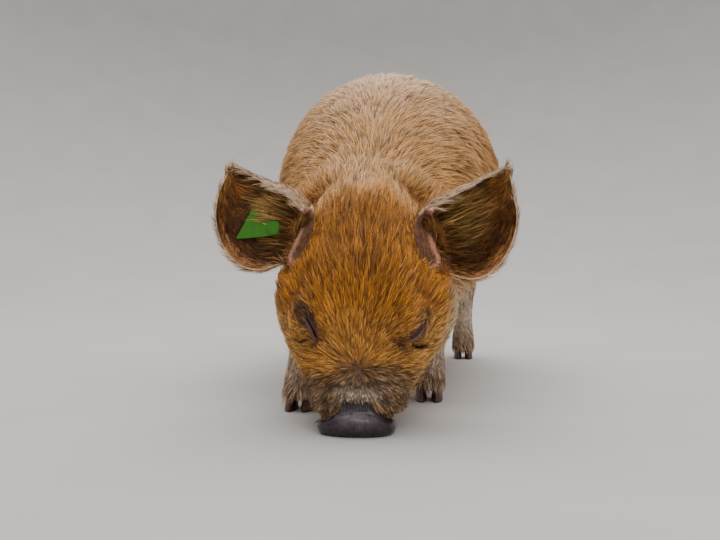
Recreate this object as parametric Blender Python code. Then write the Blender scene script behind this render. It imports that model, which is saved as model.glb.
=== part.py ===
"""Life-size still model of a ginger kunekune piglet that roots at the floor, with a tag in one ear.

Metres, +Z up. The piglet faces -Y and its left side is +X. The origin is on the floor, under the
middle of the model. A place on the animal is given as (side, back, height), where `back` is the
distance behind the point where the snout meets the floor.
"""

import math
from collections import namedtuple

import bmesh
import bpy
from mathutils import Matrix, Vector

# Driving dimensions, in metres
SNOUT_Y = -0.2473            # where the snout meets the floor
GAP = 0.0003                 # between nodes that touch
VOXEL = 0.0020
RING_POINTS = 36
BODY_TRIANGLES = 5700
HEAD_TRIANGLES = 3300
EYE_RADIUS = 0.0090
EYE_PLACE = (0.0310, 0.0145, 0.0648)
LID_RADIUS = 0.0120
SLIT_HALF_LENGTH = 0.0096
SLIT_HALF_HEIGHT = 0.0013
MOUTH_SLOT = 0.0009
MOUTH_DEPTH = 0.0035
CORONET_HEIGHT = 0.0128      # where the claws meet the legs
CLAW_SPREAD = 0.0055
CLAW_HALF_WIDTH = 0.0049
CLAW_HALF_LENGTH = 0.0104
EAR_EDGE = 0.0016            # thickness of the ear at its rim
EAR_ROOT = 0.0042            # thickness of the ear at its root
TAG_PIN_RADIUS = 0.0022
TAG_THICKNESS = 0.0016

# A cross-section between a point of the top line and one of the under line, each (back, height)
Section = namedtuple("Section", "top bottom half_width widest fullness", defaults=(0.5, 2.0))

# Rump to nape: the barrel is widest behind the middle, and the neck drops to the low head
TRUNK = (
    Section((0.480, 0.198), (0.481, 0.156), 0.022),
    Section((0.472, 0.224), (0.476, 0.128), 0.056),
    Section((0.457, 0.243), (0.463, 0.106), 0.080),
    Section((0.430, 0.260), (0.437, 0.089), 0.095, 0.47),
    Section((0.392, 0.273), (0.398, 0.078), 0.104, 0.46),
    Section((0.345, 0.282), (0.350, 0.070), 0.109, 0.45, 2.1),
    Section((0.295, 0.286), (0.300, 0.067), 0.110, 0.45, 2.1),
    Section((0.245, 0.280), (0.252, 0.069), 0.103, 0.45, 2.1),
    Section((0.205, 0.269), (0.212, 0.073), 0.094, 0.46),
    Section((0.168, 0.252), (0.178, 0.079), 0.084, 0.47),
    Section((0.135, 0.229), (0.152, 0.088), 0.074, 0.48),
    Section((0.104, 0.203), (0.130, 0.097), 0.065, 0.50),
    Section((0.078, 0.180), (0.112, 0.104), 0.057, 0.50),
    Section((0.055, 0.162), (0.096, 0.112), 0.047, 0.50),
)

# Poll to snout: the head hangs upright, so its top line faces the front, with a dish at the eyes
SKULL = (
    Section((0.066, 0.166), (0.082, 0.146), 0.014),
    Section((0.049, 0.161), (0.095, 0.130), 0.030),
    Section((0.031, 0.149), (0.102, 0.119), 0.039),
    Section((0.018, 0.134), (0.105, 0.109), 0.048, 0.46),
    Section((0.009, 0.117), (0.104, 0.098), 0.0555, 0.44),
    Section((0.002, 0.100), (0.100, 0.085), 0.0605, 0.42),
    Section((-0.001, 0.084), (0.093, 0.070), 0.0608, 0.42),
    Section((0.000, 0.068), (0.082, 0.056), 0.0555, 0.42),
    Section((0.003, 0.054), (0.070, 0.044), 0.0480, 0.42, 2.1),
    Section((0.003, 0.043), (0.058, 0.034), 0.0400, 0.42, 2.2),
    Section((0.000, 0.033), (0.047, 0.026), 0.0335, 0.44, 2.3),
    Section((-0.003, 0.025), (0.039, 0.020), 0.0305, 0.48, 2.4),
    Section((-0.004, 0.018), (0.034, 0.015), 0.0290, 0.50, 2.5),
    Section((-0.003, 0.0125), (0.031, 0.0115), 0.0265, 0.50, 2.5),
)

# Joints of each leg from the body down: side, back, height, half-width, half-depth
FRONT_LEFT = (
    (0.050, 0.172, 0.125, 0.030, 0.036),
    (0.050, 0.166, 0.100, 0.024, 0.030),
    (0.046, 0.152, 0.076, 0.0180, 0.0220),
    (0.043, 0.144, 0.054, 0.0150, 0.0170),
    (0.0415, 0.142, 0.040, 0.0122, 0.0135),
    (0.0410, 0.141, 0.026, 0.0126, 0.0142),
    (0.0410, 0.138, 0.015, 0.0128, 0.0150),
    (0.0410, 0.137, 0.009, 0.0116, 0.0136),
)
FRONT_RIGHT = (
    (-0.050, 0.166, 0.125, 0.030, 0.036),
    (-0.050, 0.152, 0.100, 0.024, 0.030),
    (-0.050, 0.132, 0.076, 0.0180, 0.0220),
    (-0.050, 0.116, 0.054, 0.0150, 0.0170),
    (-0.0500, 0.106, 0.040, 0.0122, 0.0135),
    (-0.0500, 0.097, 0.026, 0.0126, 0.0142),
    (-0.0500, 0.089, 0.015, 0.0128, 0.0150),
    (-0.0500, 0.087, 0.009, 0.0116, 0.0136),
)
HIND_LEFT = (
    (0.060, 0.420, 0.140, 0.040, 0.052),
    (0.064, 0.418, 0.112, 0.032, 0.044),
    (0.068, 0.426, 0.088, 0.0215, 0.0300),
    (0.071, 0.438, 0.066, 0.0140, 0.0190),
    (0.072, 0.438, 0.052, 0.0120, 0.0145),
    (0.072, 0.434, 0.036, 0.0115, 0.0128),
    (0.072, 0.431, 0.024, 0.0125, 0.0142),
    (0.072, 0.428, 0.015, 0.0126, 0.0150),
    (0.072, 0.426, 0.009, 0.0114, 0.0134),
)
HIND_STEP = 0.014            # the right hind foot stands this far behind the left one

# Rims of each ear from root to tip, as (side, height): the upper one, then the lower one
RIGHT_EAR = (
    ((0.0250, 0.133), (0.0400, 0.108)),
    ((0.0340, 0.141), (0.0500, 0.105)),
    ((0.0430, 0.148), (0.0620, 0.1005)),
    ((0.0520, 0.154), (0.0750, 0.0985)),
    ((0.0600, 0.1590), (0.0870, 0.1045)),
    ((0.0670, 0.1630), (0.0955, 0.1145)),
    ((0.0730, 0.1665), (0.0995, 0.1270)),
    ((0.0780, 0.1690), (0.0990, 0.1410)),
    ((0.0825, 0.1705), (0.0945, 0.1540)),
    ((0.0850, 0.1710), (0.0905, 0.1635)),
    ((0.0862, 0.1705), (0.0885, 0.1675)),
)
LEFT_EAR = (
    ((0.0290, 0.128), (0.0420, 0.105)),
    ((0.0390, 0.135), (0.0510, 0.102)),
    ((0.0490, 0.141), (0.0610, 0.0960)),
    ((0.0590, 0.1460), (0.0730, 0.0945)),
    ((0.0670, 0.1500), (0.0850, 0.1010)),
    ((0.0745, 0.1540), (0.0940, 0.1115)),
    ((0.0810, 0.1570), (0.0988, 0.1240)),
    ((0.0865, 0.1600), (0.0993, 0.1370)),
    ((0.0905, 0.1625), (0.0975, 0.1490)),
    ((0.0930, 0.1640), (0.0962, 0.1570)),
    ((0.0942, 0.1640), (0.0952, 0.1610)),
)
EAR_CUP = (0.012, 0.014, 0.0155, 0.0155, 0.0140, 0.0115, 0.0085, 0.0055, 0.0030, 0.0012, 0.0004)
EAR_BACK = (0.060, 0.056, 0.0525, 0.0505, 0.0490, 0.0480, 0.0470, 0.0460, 0.0450, 0.0445, 0.0440)
EAR_POINTS = 11              # across the ear from rim to rim

EAR_CREST = 0.0050           # how far the back of the ear bulges above its upper rim, at the root

# Path of the tail as (side, back, height, radius)
TAIL = (
    (0.000, 0.464, 0.2240, 0.0075),
    (0.000, 0.478, 0.2245, 0.0068),
    (0.001, 0.489, 0.2190, 0.0058),
    (0.003, 0.494, 0.2080, 0.0050),
    (0.006, 0.4955, 0.1940, 0.0042),
    (0.008, 0.4950, 0.1800, 0.0036),
    (0.009, 0.4935, 0.1680, 0.0028),
    (0.009, 0.4925, 0.1590, 0.0010),
)
TUFT_LOCKS = 16              # flat locks of long hair round the end of the tail
LOCK_WIDTH = 0.0042
LOCK_THICKNESS = 0.0013
LOCK_LENGTH = 0.040


def place(side, back, height):
    """Point of the model at a place on the animal."""
    return Vector((side, SNOUT_Y + back, height))


def new_object(name, bm):
    """Object that holds the bmesh, with every face pointing out."""
    bmesh.ops.recalc_face_normals(bm, faces=bm.faces)
    mesh = bpy.data.meshes.new(name)
    bm.to_mesh(mesh)
    bm.free()
    obj = bpy.data.objects.new(name, mesh)
    bpy.context.scene.collection.objects.link(obj)
    return obj


def copy_of(obj, name):
    twin = bpy.data.objects.new(name, obj.data.copy())
    bpy.context.scene.collection.objects.link(twin)
    return twin


def settle(obj):
    """Makes the object's evaluated mesh its own."""
    bpy.context.view_layer.update()
    graph = bpy.context.evaluated_depsgraph_get()
    mesh = bpy.data.meshes.new_from_object(obj.evaluated_get(graph))
    obj.modifiers.clear()
    obj.data = mesh
    return obj


def loft(name, rings):
    """Closed body through rings of equally many points."""
    bm = bmesh.new()
    loops = []
    for ring in rings:
        verts = [bm.verts.new(point) for point in ring]
        loops.append([bm.edges.new((verts[i - 1], verts[i])) for i in range(len(verts))])
    for first, second in zip(loops, loops[1:]):
        bmesh.ops.bridge_loops(bm, edges=first + second)
    for ends in (loops[0], loops[-1]):
        bmesh.ops.holes_fill(bm, edges=ends, sides=0)
    return new_object(name, bm)


def section_ring(section, inset=0):
    """Points round a section, through its top, its widest place and its bottom."""
    top = place(0, *section.top)
    bottom = place(0, *section.bottom)
    height = (top - bottom).normalized()
    top -= height * inset
    bottom += height * inset
    middle = bottom.lerp(top, section.widest)
    points = []
    for i in range(RING_POINTS):
        angle = math.tau * i / RING_POINTS
        rise = abs(math.cos(angle)) ** (2 / section.fullness)
        out = abs(math.sin(angle)) ** (2 / section.fullness)
        end = top if math.cos(angle) >= 0 else bottom
        point = middle.lerp(end, rise)
        point.x = math.copysign(out, math.sin(angle)) * (section.half_width - inset)
        points.append(point)
    return points


def oval_ring(centre, half_width, half_depth, count=20, fullness=2.0):
    """Level ring of points; fullness over 2 squares the oval."""
    points = []
    for i in range(count):
        angle = math.tau * i / count
        out = math.copysign(abs(math.cos(angle)) ** (2 / fullness), math.cos(angle))
        along = math.copysign(abs(math.sin(angle)) ** (2 / fullness), math.sin(angle))
        points.append(centre + Vector((half_width * out, half_depth * along, 0)))
    return points


def ellipsoid(name, centre, radii, turn=None, detail=3):
    """Ball stretched to three radii and turned."""
    turn = turn or Matrix.Identity(3)
    matrix = Matrix.Translation(centre) @ turn.to_4x4() @ Matrix.Diagonal((*radii, 1))
    bm = bmesh.new()
    bmesh.ops.create_icosphere(bm, subdivisions=detail, radius=1, matrix=matrix)
    return new_object(name, bm)


def prism(name, corners):
    """Closed body between a lower and an upper four-sided ring of points."""
    return loft(name, (corners[:4], corners[4:]))


def tube(name, path, count=14):
    """Closed tapering tube along (side, back, height, radius)."""
    points = [place(*stop[:3]) for stop in path]
    rings = []
    for i, stop in enumerate(path):
        along = points[min(i + 1, len(points) - 1)] - points[max(i - 1, 0)]
        across = Vector((1, 0, 0))
        across = (across - along * across.dot(along) / along.length_squared).normalized()
        up = along.normalized().cross(across)
        ring = []
        for j in range(count):
            angle = math.tau * j / count
            ring.append(points[i] + (across * math.cos(angle) + up * math.sin(angle)) * stop[3])
        rings.append(ring)
    return loft(name, rings)


def fuse(name, pieces, rounds):
    """One smooth body from overlapping pieces, which are used up."""
    bm = bmesh.new()
    for piece in pieces:
        bm.from_mesh(piece.data)
        bpy.data.objects.remove(piece)
    body = new_object(name, bm)
    remesh = body.modifiers.new("One surface", "REMESH")
    remesh.mode = "VOXEL"
    remesh.voxel_size = VOXEL
    soften = body.modifiers.new("Soften joins", "SMOOTH")
    soften.factor = 0.5
    soften.iterations = rounds
    return settle(body)


def simplify(obj, triangles):
    """Fewer triangles, about as many as given."""
    obj.data.calc_loop_triangles()
    fewer = obj.modifiers.new("Fewer triangles", "DECIMATE")
    fewer.ratio = min(1.0, triangles / len(obj.data.loop_triangles))
    fewer.use_collapse_triangulate = True
    return settle(obj)


def keep_side(obj, point, normal):
    """Cuts the object at a plane and keeps what lies against the normal."""
    bm = bmesh.new()
    bm.from_mesh(obj.data)
    parts = bm.verts[:] + bm.edges[:] + bm.faces[:]
    cut = bmesh.ops.bisect_plane(
        bm, geom=parts, dist=1e-6, plane_co=point, plane_no=normal, clear_outer=True
    )
    edges = [item for item in cut["geom_cut"] if isinstance(item, bmesh.types.BMEdge)]
    bmesh.ops.holes_fill(bm, edges=edges, sides=0)
    bmesh.ops.triangulate(bm, faces=bm.faces)
    bm.to_mesh(obj.data)
    bm.free()
    return obj


def carve(obj, tool, operation="DIFFERENCE", keep_tool=False):
    """Boolean of the object with a tool, which is used up unless it is kept."""
    boolean = obj.modifiers.new("Carve", "BOOLEAN")
    boolean.operation = operation
    boolean.solver = "EXACT"
    boolean.object = tool
    settle(obj)
    if not keep_tool:
        bpy.data.objects.remove(tool)
    return obj


def grown(obj, distance, name="grown"):
    """Copy of the object, swollen along its normals."""
    twin = copy_of(obj, name)
    swell = twin.modifiers.new("Swell", "DISPLACE")
    swell.mid_level = 0
    swell.strength = distance
    return settle(twin)


def material(name, colour, roughness, coat=0.0):
    """Principled material, made once for each name; the colour is linear."""
    found = bpy.data.materials.get(name)
    if found:
        return found
    made = bpy.data.materials.new(name)
    made.use_nodes = True
    shader = made.node_tree.nodes["Principled BSDF"]
    shader.inputs["Base Color"].default_value = (*colour, 1)
    shader.inputs["Roughness"].default_value = roughness
    shader.inputs["Coat Weight"].default_value = coat
    made.diffuse_color = (*colour, 1)
    return made


def finish(obj, name, skin):
    """Names the node and gives it its material."""
    obj.name = name
    obj.data.name = name
    obj.data.materials.clear()
    obj.data.materials.append(skin)
    return obj


def leg_form(joints):
    rings = []
    for side, back, height, half_width, half_depth in joints:
        rings.append(oval_ring(place(side, back, height), half_width, half_depth))
    return loft("leg", rings)


def leg_joints():
    """Joints of the four legs by name."""
    hind_right = []
    for side, back, height, half_width, half_depth in HIND_LEFT:
        step = HIND_STEP * min(1.0, max(0.0, (0.088 - height) / 0.036))
        hind_right.append((-side, back + step, height, half_width, half_depth))
    return {
        "leg_front_left": FRONT_LEFT,
        "leg_front_right": FRONT_RIGHT,
        "leg_hind_left": HIND_LEFT,
        "leg_hind_right": tuple(hind_right),
    }


def trunk_forms():
    """The barrel and neck with shoulders and hams."""
    forms = [loft("trunk", [section_ring(section) for section in TRUNK])]
    for sign in (-1, 1):
        forms += [
            ellipsoid("shoulder", place(sign * 0.047, 0.178, 0.150), (0.040, 0.050, 0.074)),
            ellipsoid("ham", place(sign * 0.057, 0.420, 0.152), (0.047, 0.060, 0.074)),
        ]
    return forms


def skull_forms():
    """The head with cheeks, brows, lids, ear roots and chin."""
    forms = [loft("skull", [section_ring(section) for section in SKULL])]
    for sign in (-1, 1):
        eye = place(sign * EYE_PLACE[0], *EYE_PLACE[1:])
        forms += [
            ellipsoid("cheek", place(sign * 0.036, 0.062, 0.080), (0.026, 0.034, 0.038)),
            ellipsoid("lid", eye, (LID_RADIUS, LID_RADIUS, LID_RADIUS)),
            ellipsoid("brow", place(sign * 0.0265, 0.0100, 0.0760), (0.011, 0.008, 0.012)),
            ellipsoid("ear root", place(sign * 0.040, 0.079, 0.126), (0.017, 0.017, 0.024)),
            ellipsoid("upper lip", place(sign * 0.0215, 0.0220, 0.0260), (0.009, 0.012, 0.012)),
        ]
    forms.append(ellipsoid("chin", place(0, 0.040, 0.0245), (0.017, 0.011, 0.010)))
    return forms


# Block that holds each leg: inner side, then front and rear face as (back, height) low and high
LEG_BLOCKS = {
    "leg_front_left": (0.0250, ((0.110, -0.020), (0.120, 0.083)), ((0.186, -0.020), (0.186, 0.090))),
    "leg_front_right": (0.0260, ((0.051, -0.020), (0.108, 0.083)), ((0.186, -0.020), (0.186, 0.090))),
    "leg_hind_left": (0.038, ((0.372, -0.020), (0.372, 0.088)), ((0.482, -0.020), (0.482, 0.112))),
    "leg_hind_right": (0.038, ((0.372, -0.020), (0.372, 0.088)), ((0.482, -0.020), (0.482, 0.112))),
}


def leg_block(name, margin):
    """Block that holds one leg, swollen by a margin."""
    inner, front, rear = LEG_BLOCKS[name]
    sign = 1 if "left" in name else -1
    corners = []
    for level in (0, 1):
        for side, (back, height), shift in (
            (inner - margin, front[level], -margin),
            (0.140, front[level], -margin),
            (0.140, rear[level], margin),
            (inner - margin, rear[level], margin),
        ):
            corners.append(place(sign * side, back + shift, height + margin * level))
    return prism("block", corners)


def claws_of(name, joints, horn, legs):
    """Two claws under the leg and two dewclaws behind it; the leg is hollowed for their roots."""
    foot = joints[-1]
    for which, sign in (("outer", 1), ("inner", -1)):
        side = foot[0] + math.copysign(CLAW_SPREAD, foot[0]) * sign
        centre = place(side, foot[1], 0)
        rings = []
        for height, scale, shift in (
            (0.0, 0.92, -0.0030),
            (0.0012, 1.0, -0.0028),
            (0.0070, 0.98, -0.0014),
            (CORONET_HEIGHT - GAP, 0.93, 0.0006),
        ):
            middle = centre + Vector((0, shift, height))
            rings.append(oval_ring(
                middle, CLAW_HALF_WIDTH * scale, CLAW_HALF_LENGTH * scale, 12, 2.5
            ))
        finish(loft("claw", rings), f"{name}_claw_{which}".replace("leg_", ""), horn)
        ankle = joints[-3]
        root = place(
            ankle[0] + math.copysign(0.0062, ankle[0]) * sign,
            ankle[1] + ankle[4] * 0.80,
            ankle[2] - 0.003,
        )
        tilt = Matrix.Rotation(math.radians(28), 3, "X")
        radii = Vector((0.0028, 0.0030, 0.0062))
        dewclaw = ellipsoid("dewclaw", root, radii, tilt, 2)
        hollow = ellipsoid("hollow", root, radii + Vector((GAP, GAP, GAP)) * 1.3, tilt, 2)
        carve(legs[name], hollow)
        finish(dewclaw, f"{name}_dewclaw_{which}".replace("leg_", ""), horn)


def slit_turn(sign):
    """Axes of the gap between the lids: along it, out of the face, and across it."""
    along = Vector((sign * 0.66, 0.487, 0.571)).normalized()
    outward = Vector((sign * 0.59, -0.80, 0.05))
    outward = (outward - along * outward.dot(along)).normalized()
    return Matrix((along, outward, along.cross(outward))).transposed(), outward


def carve_eyes(head, wet):
    for name, sign in (("left", 1), ("right", -1)):
        centre = place(sign * EYE_PLACE[0], *EYE_PLACE[1:])
        ball = [EYE_RADIUS] * 3
        finish(ellipsoid("eye", centre, ball, detail=3), f"eye_{name}", wet)
        socket = [EYE_RADIUS + GAP] * 3
        carve(head, ellipsoid("socket", centre, socket, detail=3))
        turn, outward = slit_turn(sign)
        slit = (SLIT_HALF_LENGTH, 0.0070, SLIT_HALF_HEIGHT)
        carve(head, ellipsoid("slit", centre + outward * EYE_RADIUS, slit, turn, 3))


def carve_mouth(head):
    """Line of the mouth: a slot that goes a little way in, all round the muzzle."""
    line = ((0.0190, 0.0070), (0.0245, 0.0150), (0.0335, 0.0265), (0.0430, 0.0370), (0.0500, 0.0470))
    rings = []
    for i, (back, height) in enumerate(line):
        before = Vector(line[max(i - 1, 0)])
        after = Vector(line[min(i + 1, len(line) - 1)])
        step = (after - before).normalized() * MOUTH_SLOT / 2
        rings.append([
            place(-0.06, back + step.y, height - step.x),
            place(0.06, back + step.y, height - step.x),
            place(0.06, back - step.y, height + step.x),
            place(-0.06, back - step.y, height + step.x),
        ])
    slot = loft("slot", rings)
    core = loft("core", [section_ring(section, MOUTH_DEPTH) for section in SKULL[6:]])
    carve(slot, core)
    carve(head, slot)


def make_nose(head, skin):
    """Snout disc that stands on the floor, with its nostrils; the muzzle is hollowed for it."""
    rings = []
    for height, back, half_width, half_depth in (
        (0.0000, 0.0100, 0.0205, 0.0122),
        (0.0012, 0.0092, 0.0229, 0.0155),
        (0.0045, 0.0086, 0.0241, 0.0174),
        (0.0080, 0.0087, 0.0235, 0.0172),
        (0.0105, 0.0090, 0.0196, 0.0162),
        (0.0132, 0.0094, 0.0140, 0.0150),
        (0.0155, 0.0096, 0.0100, 0.0147),
        (0.0170, 0.0096, 0.0087, 0.0145),
        (0.0205, 0.0098, 0.0084, 0.0145),
        (0.0230, 0.0110, 0.0072, 0.0126),
    ):
        rings.append(oval_ring(place(0, back, height), half_width, half_depth, 26, 2.3))
    nose = loft("nose", rings)
    carve(head, grown(nose, GAP * 1.2))
    for sign in (-1, 1):
        radii = (0.0038, 0.0050, 0.0090)
        centre = place(sign * 0.0088, 0.0085, -0.0010)
        carve(nose, ellipsoid("nostril", centre, radii, detail=2))
    return finish(nose, "nose", skin)


def make_ear(name, sign, rims, head, skin):
    """Cupped leaf with a thick root, open to the front, cut where it meets the head."""
    front = []
    for (upper, lower), cup, back in zip(rims, EAR_CUP, EAR_BACK):
        row = []
        for j in range(EAR_POINTS):
            across = j / (EAR_POINTS - 1)
            side = upper[0] + (lower[0] - upper[0]) * across
            crest = EAR_CREST * (1 - len(front) / (len(rims) - 1)) * math.sin(math.pi * min(1, 2.2 * across))
            height = upper[1] + (lower[1] - upper[1]) * across + crest
            depth = back + cup * math.sin(math.pi * across) ** 0.8
            row.append(place(sign * side, depth, height))
        front.append(row)
    rows = len(front)
    behind = []
    for i in range(rows):
        row = []
        for j in range(EAR_POINTS):
            down = front[i][min(j + 1, EAR_POINTS - 1)] - front[i][max(j - 1, 0)]
            out = front[min(i + 1, rows - 1)][j] - front[max(i - 1, 0)][j]
            normal = down.cross(out).normalized()
            if normal.y < 0:
                normal = -normal
            inside = min(1.0, 4 * min(j, EAR_POINTS - 1 - j) / (EAR_POINTS - 1))
            inside *= 1 - (i / (rows - 1)) ** 2
            row.append(front[i][j] + normal * (EAR_EDGE + (EAR_ROOT - EAR_EDGE) * inside))
        behind.append(row)
    bm = bmesh.new()
    grids = []
    for points in (front, behind):
        grids.append([[bm.verts.new(point) for point in row] for row in points])
    for grid in grids:
        for i in range(rows - 1):
            for j in range(EAR_POINTS - 1):
                bm.faces.new((grid[i][j], grid[i][j + 1], grid[i + 1][j + 1], grid[i + 1][j]))
    inner, outer = grids
    for i in range(rows - 1):
        for j in (0, EAR_POINTS - 1):
            bm.faces.new((inner[i][j], inner[i + 1][j], outer[i + 1][j], outer[i][j]))
    for j in range(EAR_POINTS - 1):
        for i in (0, rows - 1):
            bm.faces.new((inner[i][j], inner[i][j + 1], outer[i][j + 1], outer[i][j]))
    bmesh.ops.triangulate(bm, faces=bm.faces)
    ear = new_object("ear", bm)
    carve(ear, head, keep_tool=True)
    return finish(ear, name, skin)


def rod(name, centre, axis, radius, length, count=24):
    """Closed cylinder whose middle is at the centre."""
    turn = axis.normalized().to_track_quat("Z", "Y").to_matrix().to_4x4()
    bm = bmesh.new()
    bmesh.ops.create_cone(
        bm,
        cap_ends=True,
        segments=count,
        radius1=radius,
        radius2=radius,
        depth=length,
        matrix=Matrix.Translation(centre) @ turn,
    )
    return new_object(name, bm)


def lock(root, way, outward, length, bend):
    """Flat, tapered lock from its root along a way, bending down; outward is its flat side."""
    rings = []
    for share, size in ((0.0, 0.7), (0.3, 1.0), (0.65, 0.8), (0.9, 0.4), (1.0, 0.06)):
        centre = root + way * length * share + Vector((0, 0, -bend * share * share))
        across = way.cross(outward).normalized() * LOCK_WIDTH * size / 2
        depth = outward * LOCK_THICKNESS * size ** 0.5 / 2
        rings.append([centre - across, centre - depth, centre + across, centre + depth])
    return loft("lock", rings)


def make_tail(rump, coat):
    """Thin tail that hangs from the rump and ends in a tuft of long, flat locks."""
    tail = tube("tail", TAIL)
    locks = bpy.data.collections.new("tuft")
    bpy.context.scene.collection.children.link(locks)
    for i in range(TUFT_LOCKS):
        low = place(*TAIL[-2][:3])
        high = place(*TAIL[-4][:3])
        share = (i * 5 % TUFT_LOCKS) / (TUFT_LOCKS - 1)
        angle = math.tau * i * 0.382
        outward = Vector((math.cos(angle), math.sin(angle), 0.0))
        spread = 0.05 + 0.14 * share
        way = (Vector((0, 0, -1)) + outward * spread).normalized()
        flat_side = (outward - way * outward.dot(way)).normalized()
        root = low.lerp(high, share) + outward * 0.0014
        length = LOCK_LENGTH * (0.82 + 0.18 * math.cos(3 * angle))
        piece = lock(root, way, flat_side, length, 0.004 * share)
        bpy.context.scene.collection.objects.unlink(piece)
        locks.objects.link(piece)
    union = tail.modifiers.new("Tuft", "BOOLEAN")
    union.operation = "UNION"
    union.solver = "EXACT"
    union.operand_type = "COLLECTION"
    union.collection = locks
    settle(tail)
    for piece in list(locks.objects):
        bpy.data.objects.remove(piece)
    carve(tail, grown(rump, GAP, "rump"))
    return finish(tail, "tail", coat)


def make_tag(ear, plastic):
    """Flag tag: a plate in front of the ear on a pin that ends in a stud behind it."""
    pin = place(-0.0660, 0.0665, 0.1280)
    axis = Vector((-0.28, 0.96, -0.04)).normalized()
    across = Vector((-0.93, -0.02, 0.0))
    across = (across - axis * across.dot(axis)).normalized()
    down = axis.cross(across).normalized()
    if down.z > 0:
        down = -down
    front = pin - axis * 0.0080
    outline = (
        (-0.0045, -0.0045), (0.0050, -0.0080), (0.0140, -0.0130),
        (0.0250, 0.0080), (0.0140, 0.0070), (0.0050, 0.0060), (-0.0045, 0.0045),
    )
    near = []
    for out, drop in outline:
        near.append(front + across * out + down * drop)
    plate = loft("plate", (near, [point + axis * TAG_THICKNESS for point in near]))
    carve(plate, rod("shank", pin, axis, TAG_PIN_RADIUS, 0.0190, 16), "UNION")
    stud_at = pin + axis * 0.0072
    stud = rod("stud", stud_at, axis, 0.0090, 0.0030, 24)
    carve(stud, rod("bore", stud_at, axis, TAG_PIN_RADIUS + GAP, 0.0100, 16))
    carve(ear, rod("hole", pin, axis, TAG_PIN_RADIUS + GAP * 1.5, 0.0160, 16))
    finish(plate, "ear_tag", plastic)
    finish(stud, "ear_tag_stud", plastic)


def main():
    for obj in list(bpy.data.objects):
        bpy.data.objects.remove(obj)

    ginger = material("ginger_coat", (0.46, 0.22, 0.07), 0.8)
    nape = material("nape_coat", (0.50, 0.29, 0.13), 0.8)
    back = material("back_coat", (0.52, 0.32, 0.16), 0.8)
    shank = material("leg_coat", (0.46, 0.36, 0.26), 0.8)
    ear_skin = material("ear_skin", (0.24, 0.12, 0.06), 0.7)
    snout_skin = material("snout_skin", (0.045, 0.030, 0.036), 0.3, 0.4)
    horn = material("horn", (0.10, 0.055, 0.04), 0.5)
    wet = material("wet_eye", (0.02, 0.012, 0.008), 0.05, 0.6)
    plastic = material("tag_plastic", (0.05, 0.33, 0.04), 0.45)
    tuft = material("tail_coat", (0.55, 0.37, 0.20), 0.8)

    joints = leg_joints()
    whole = fuse("whole", trunk_forms() + skull_forms() + [leg_form(j) for j in joints.values()], 8)
    simplify(whole, BODY_TRIANGLES)
    head = fuse("head", trunk_forms() + skull_forms(), 6)

    nape_cut = place(0, 0.083, 0.135)
    withers_cut = place(0, 0.128, 0.165)
    along_neck = Vector((0, 0.839, 0.545)).normalized()
    into_body = Vector((0, 0.94, 0.34)).normalized()

    keep_side(head, nape_cut + along_neck * 0.004, along_neck)
    simplify(head, HEAD_TRIANGLES)
    keep_side(head, nape_cut - along_neck * GAP / 2, along_neck)

    legs = {}
    rest = copy_of(whole, "rest")
    for name in joints:
        legs[name] = carve(copy_of(whole, name), leg_block(name, 0), "INTERSECT")
        keep_side(legs[name], Vector((0, 0, CORONET_HEIGHT)), Vector((0, 0, -1)))
        finish(legs[name], name, shank)
        carve(rest, leg_block(name, GAP))
    bpy.data.objects.remove(whole)
    neck = copy_of(rest, "neck")
    keep_side(neck, nape_cut + along_neck * GAP / 2, -along_neck)
    keep_side(neck, withers_cut - into_body * GAP / 2, into_body)
    keep_side(rest, withers_cut + into_body * GAP / 2, -into_body)

    carve_mouth(head)
    make_nose(head, snout_skin)
    carve_eyes(head, wet)
    swollen = grown(head, GAP)
    ears = {}
    for name, sign, rims in (("ear_right", -1, RIGHT_EAR), ("ear_left", 1, LEFT_EAR)):
        ears[name] = make_ear(name, sign, rims, swollen, ear_skin)
    bpy.data.objects.remove(swollen)
    make_tag(ears["ear_right"], plastic)

    make_tail(rest, tuft)
    for name in joints:
        claws_of(name, joints[name], horn, legs)

    finish(head, "head", ginger)
    finish(neck, "neck", nape)
    finish(rest, "torso", back)


main()
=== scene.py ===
import math

import bmesh
import bpy
import numpy as np
from mathutils import Matrix, Vector, bvhtree, kdtree


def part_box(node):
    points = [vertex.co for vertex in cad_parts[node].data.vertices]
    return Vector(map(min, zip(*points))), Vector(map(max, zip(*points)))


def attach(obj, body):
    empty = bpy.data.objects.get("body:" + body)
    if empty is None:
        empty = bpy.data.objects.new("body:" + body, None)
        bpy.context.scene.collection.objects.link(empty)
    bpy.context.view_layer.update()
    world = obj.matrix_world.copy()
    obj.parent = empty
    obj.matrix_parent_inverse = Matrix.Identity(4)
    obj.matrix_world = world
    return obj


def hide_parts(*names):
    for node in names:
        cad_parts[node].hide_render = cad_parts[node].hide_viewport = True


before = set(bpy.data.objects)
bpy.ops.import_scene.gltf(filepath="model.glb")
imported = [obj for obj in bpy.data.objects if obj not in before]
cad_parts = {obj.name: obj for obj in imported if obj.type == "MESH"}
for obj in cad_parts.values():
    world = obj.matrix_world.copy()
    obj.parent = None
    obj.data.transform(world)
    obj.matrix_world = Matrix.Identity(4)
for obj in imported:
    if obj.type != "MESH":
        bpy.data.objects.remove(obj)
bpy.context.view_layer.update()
scene = bpy.context.scene

# Where it stands: a pale smooth floor that rolls up into a low wall all round, under broad soft
# daylight from above and behind with a dimmer glow from the front. The camera is low, close to
# the snout and level, as in the photograph.
SNOUT_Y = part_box("nose")[0].y + 0.0088
CAMERA_SPOT = (0.0560, SNOUT_Y - 0.4647, 0.0996)
CAMERA_YAW = math.radians(6.5)
COVE_START = 1.2
COVE_RADIUS = 2.6
COVE_STEPS = 12


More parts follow.
